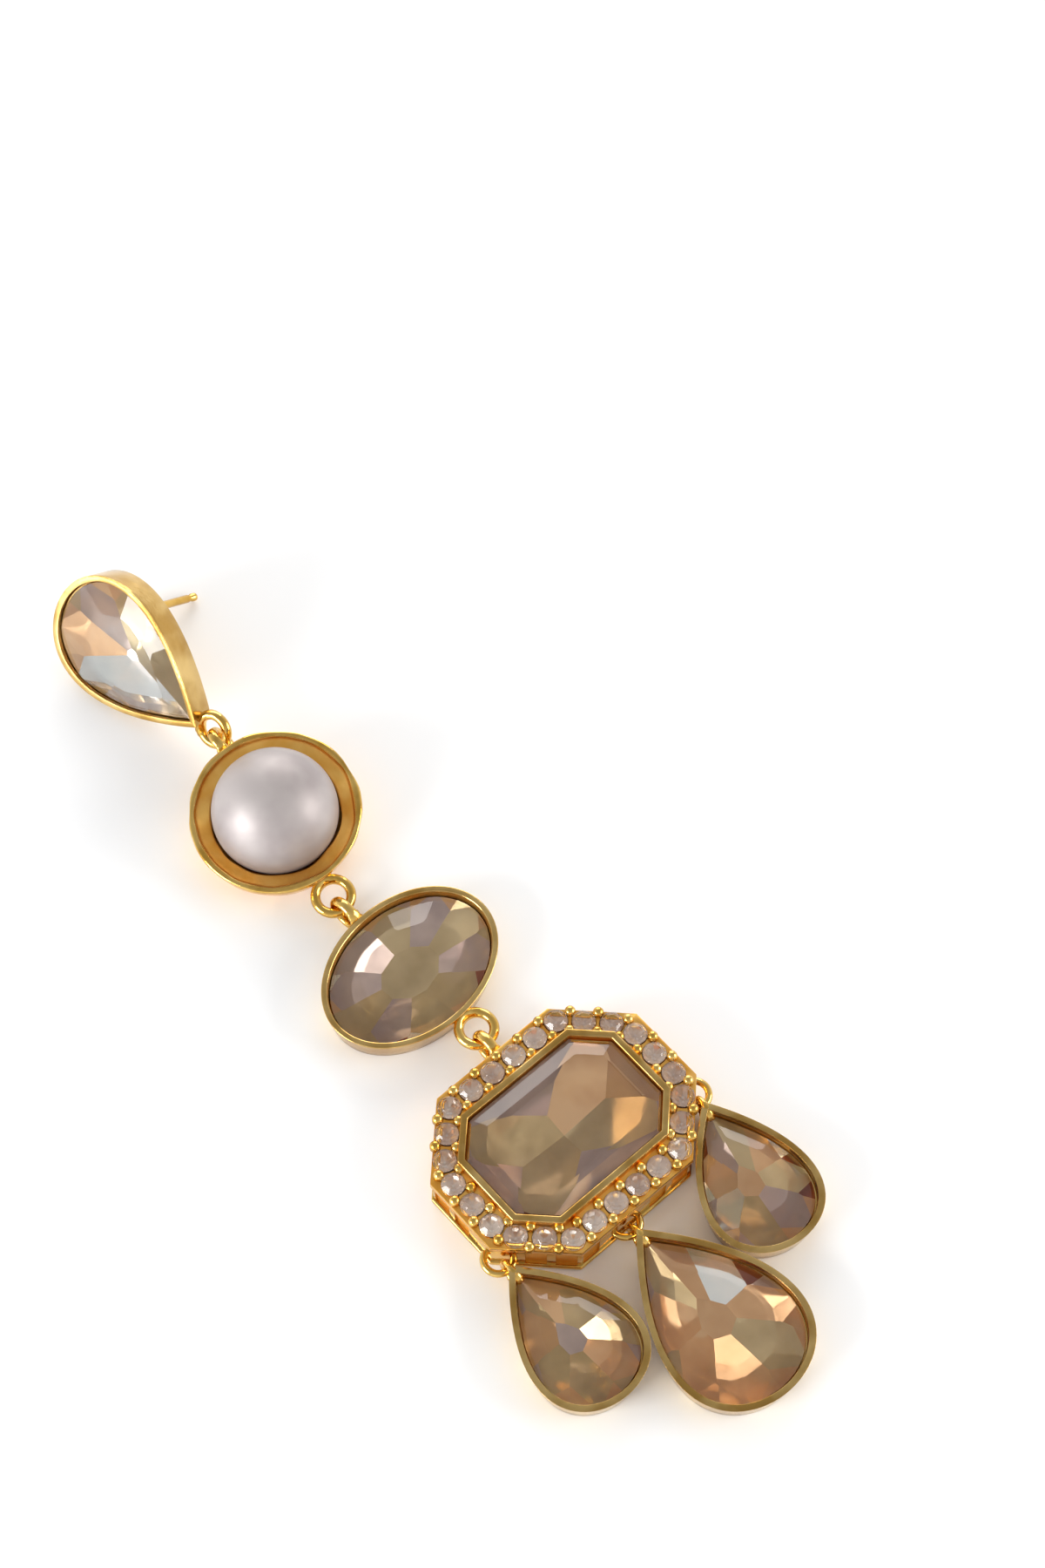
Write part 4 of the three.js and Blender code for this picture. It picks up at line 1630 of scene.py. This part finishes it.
class Earring:
    """The whole earring, setting by setting."""

    halo_lie = Lie(1.2615, -21.507)
    oval_lie = Lie(1.8051, 1.2275, turn=4.7)
    pearl_lie = Lie(2.709, 22.3972, 0.8782, pitch=5.4, lean=-4.8, turn=-6.5)
    stud_lie = Lie(4.1622, 44.4335, 5.1835, pitch=-11.0, lean=60.5, turn=-174.5)
    drops = (
        DropSite("centre", Lie(0.0615, -43.1551), 12.6, 18.4, 10.008),
        DropSite("left", Lie(-11.0657, -35.933, turn=-0.13), 9.8, 14.2, 7.905),
        DropSite("right", Lie(11.5591, -35.7242, turn=-11.877), 9.8, 14.2, 7.905),
    )
    cup_height = 3.1
    girdle_level = 2.2
    drop_loop_radius = 1.25
    drop_loop_level = 1.63
    loop_rooted = 0.3
    first_drop_seed = 20

    def __init__(self, palette: Palette) -> None:
        """Keeps the materials.

        Args:
            palette: the materials.
        """
        self.palette = palette

    def set_crystal(
        self, stone: CutStone, height: float, rings: list[LinkRing], post: EarPost | None = None
    ) -> None:
        """Builds a cut stone and the bezel cup round it.

        Args:
            stone: the stone.
            height: height of the cup.
            rings: link rings of the cup.
            post: ear post on the cup's back.
        """
        size = stone.outline
        opening = Outline(size.shape, size.width + 2 * STONE_GAP, size.length + 2 * STONE_GAP)
        cup = BezelCup(stone.name, opening, stone.lie, height, stone.girdle_level, rings, post)
        cup.build(self.palette)
        stone.build(self.palette)

    def build_stud(self) -> None:
        """Builds the pear stud that leans on its ear post."""
        outline = Outline(Shape.PEAR, width=12.5, length=17.3, sides=STONE_SIDES)
        # The spot given here paints a window's reflection on the stud's foil
        stone = CutStone(
            "stud", outline, self.stud_lie, girdle_level=2.75,
            crown=0.55, pavilion=2.05, table_share=0.62, painted_glint_spot=(1.2, -0.4), seed=11,
        )
        ring = LinkRing(radius=1.6, y=10.939, z=1.6, wire=RING_WIRE, wall_y=9.4)
        self.set_crystal(stone, height=3.2, rings=[ring], post=EarPost())

    def build_pearl(self) -> None:
        """Builds the pearl in its dish."""
        setting = PearlSetting(self.pearl_lie)
        setting.build(self.palette)
        setting.build_pearl(self.palette)

    def build_oval(self) -> None:
        """Builds the oval, long side across the chain."""
        outline = Outline(Shape.OVAL, width=17.7, length=12.7, sides=STONE_SIDES)
        stone = CutStone("oval", outline, self.oval_lie, self.girdle_level, mains=10, culet_share=0.36)
        rings = [
            LinkRing(radius=1.7, y=-8.864, z=LINK_LEVEL, wire=RING_WIRE, wall_y=-7.1),
            LinkRing(radius=1.6, y=8.764, z=LINK_LEVEL, upright=True, wall_y=7.1, band=LOOP_BAND),
        ]
        self.set_crystal(stone, self.cup_height, rings)

    def build_halo(self) -> None:
        """Builds the octagon with its halo of small stones."""
        halo = Halo(self.halo_lie)
        halo.build(self.palette)
        OctagonStone(self.halo_lie).build(self.palette)
        halo.set_stones(self.palette)

    def build_drops(self) -> None:
        """Builds the three pear drops."""
        for drop in self.drops:
            stone = CutStone(
                f"{drop.side}_drop", Outline(Shape.PEAR, drop.width, drop.length, STONE_SIDES), drop.lie,
                self.girdle_level, culet_share=0.24, seed=self.first_drop_seed + len(drop.side),
            )
            loop = LinkRing(
                radius=self.drop_loop_radius, y=drop.loop_y, z=self.drop_loop_level,
                wire=DROP_WIRE, upright=True, wall_y=drop.loop_y - self.loop_rooted,
            )
            self.set_crystal(stone, self.cup_height, [loop])


@dataclass(frozen=True)
class Lamp:
    """Soft rectangular lamp, aimed at the earring or straight down, in metres and watts."""

    name: str
    place: tuple[float, float, float]
    size: tuple[float, float]
    power: float
    colour: tuple[float, float, float]
    spread: float = 180.0
    straight_down: bool = False

    def hang(self) -> None:
        """Puts the lamp in the scene."""
        light = bpy.data.lights.new(self.name, "AREA")
        light.shape = "RECTANGLE"
        light.size, light.size_y = self.size
        light.energy = self.power
        light.spread = math.radians(self.spread)
        light.color = self.colour
        lamp = bpy.data.objects.new(self.name, light)
        lamp.location = self.place
        aim = Vector((*self.place[:2], 0)) if self.straight_down else Vector((0, 0, 0))
        lamp.rotation_euler = (Vector(self.place) - aim).to_track_quat("Z", "Y").to_euler()
        bpy.context.scene.collection.objects.link(lamp)


@dataclass
class Studio:
    """White table, soft lights and the camera at the photograph's angle, in metres and degrees."""

    elevation: float = 61.98
    azimuth: float = -41.57
    distance: float = 0.3212
    lens: float = 73.88
    target: tuple[float, float, float] = (0.02406, 0.01007, 0.0)
    table_radius: float = 0.42
    table_drop: float = 0.00005
    horizon_light: float = 1.12
    overhead_light: float = 0.46
    sky: Colour = (0.97, 0.98, 1.0, 1)
    lamps: tuple[Lamp, ...] = (
        Lamp("left_light", (-0.55, 0.08, 0.2), (0.3, 0.24), 3.0, (0.97, 0.99, 1.0)),
        Lamp("right_light", (0.42, -0.4, 0.22), (0.4, 0.3), 2.4, (1.0, 0.99, 0.97)),
        Lamp("back_light", (0.38, 0.44, 0.24), (0.5, 0.4), 2.1, (1.0, 0.99, 0.97)),
        Lamp(
            "table_light", (-0.11, 0.01, 0.06), (0.06, 0.17), 0.5, (0.97, 0.99, 1.0),
            spread=90.0, straight_down=True,
        ),
    )

    def place_table(self, palette: Palette) -> None:
        """Lays the table under the earring.

        Args:
            palette: the materials.
        """
        clear_bench()
        bpy.ops.mesh.primitive_circle_add(
            vertices=96, radius=self.table_radius, fill_type="NGON", location=(0, 0, -self.table_drop)
        )
        table = bpy.context.object
        fix_place(table)
        table.name = "table_top"
        dress(table, palette.table)

    def place_lights(self) -> None:
        """Hangs the soft lights and sets the room's own light."""
        for lamp in self.lamps:
            lamp.hang()
        world = bpy.data.worlds.new("studio")
        world.use_nodes = True
        tree = world.node_tree
        place = add_node(tree, "ShaderNodeTexCoord")
        split = add_node(tree, "ShaderNodeSeparateXYZ")
        fade = add_node(tree, "ShaderNodeMapRange", To_Min=self.horizon_light, To_Max=self.overhead_light)
        tree.links.new(place.outputs["Generated"], split.inputs["Vector"])
        tree.links.new(split.outputs["Z"], fade.inputs["Value"])
        tree.links.new(fade.outputs["Result"], tree.nodes["Background"].inputs["Strength"])
        tree.nodes["Background"].inputs["Color"].default_value = self.sky
        bpy.context.scene.world = world

    def place_camera(self) -> None:
        """Sets the camera up."""
        up, round_turn = math.radians(self.elevation), math.radians(self.azimuth)
        level = math.cos(up)
        back = Vector((math.sin(round_turn) * level, -math.cos(round_turn) * level, math.sin(up)))
        data = bpy.data.cameras.new("camera")
        data.lens = self.lens
        data.sensor_width = 36.0
        data.clip_start = 0.01
        camera = bpy.data.objects.new("camera", data)
        camera.location = Vector(self.target) + back * self.distance
        camera.rotation_euler = back.to_track_quat("Z", "Y").to_euler()
        bpy.context.scene.collection.objects.link(camera)
        bpy.context.scene.camera = camera

    def set_picture(self) -> None:
        """Sets how the picture is developed and how far light is followed."""
        scene = bpy.context.scene
        scene.view_settings.view_transform = "Standard"
        scene.view_settings.look = "None"
        scene.cycles.max_bounces = 14
        scene.cycles.glossy_bounces = 8
        scene.cycles.transmission_bounces = 12
        scene.cycles.blur_glossy = 0.5


def main() -> None:
    """Builds the earring and its studio."""
    logging.basicConfig(level=logging.INFO, format="%(message)s")
    palette = Palette()
    earring = Earring(palette)
    earring.build_stud()
    earring.build_pearl()
    earring.build_oval()
    earring.build_halo()
    earring.build_drops()
    studio = Studio()
    studio.place_table(palette)
    studio.place_lights()
    studio.place_camera()
    studio.set_picture()


if __name__ == "__main__":
    main()
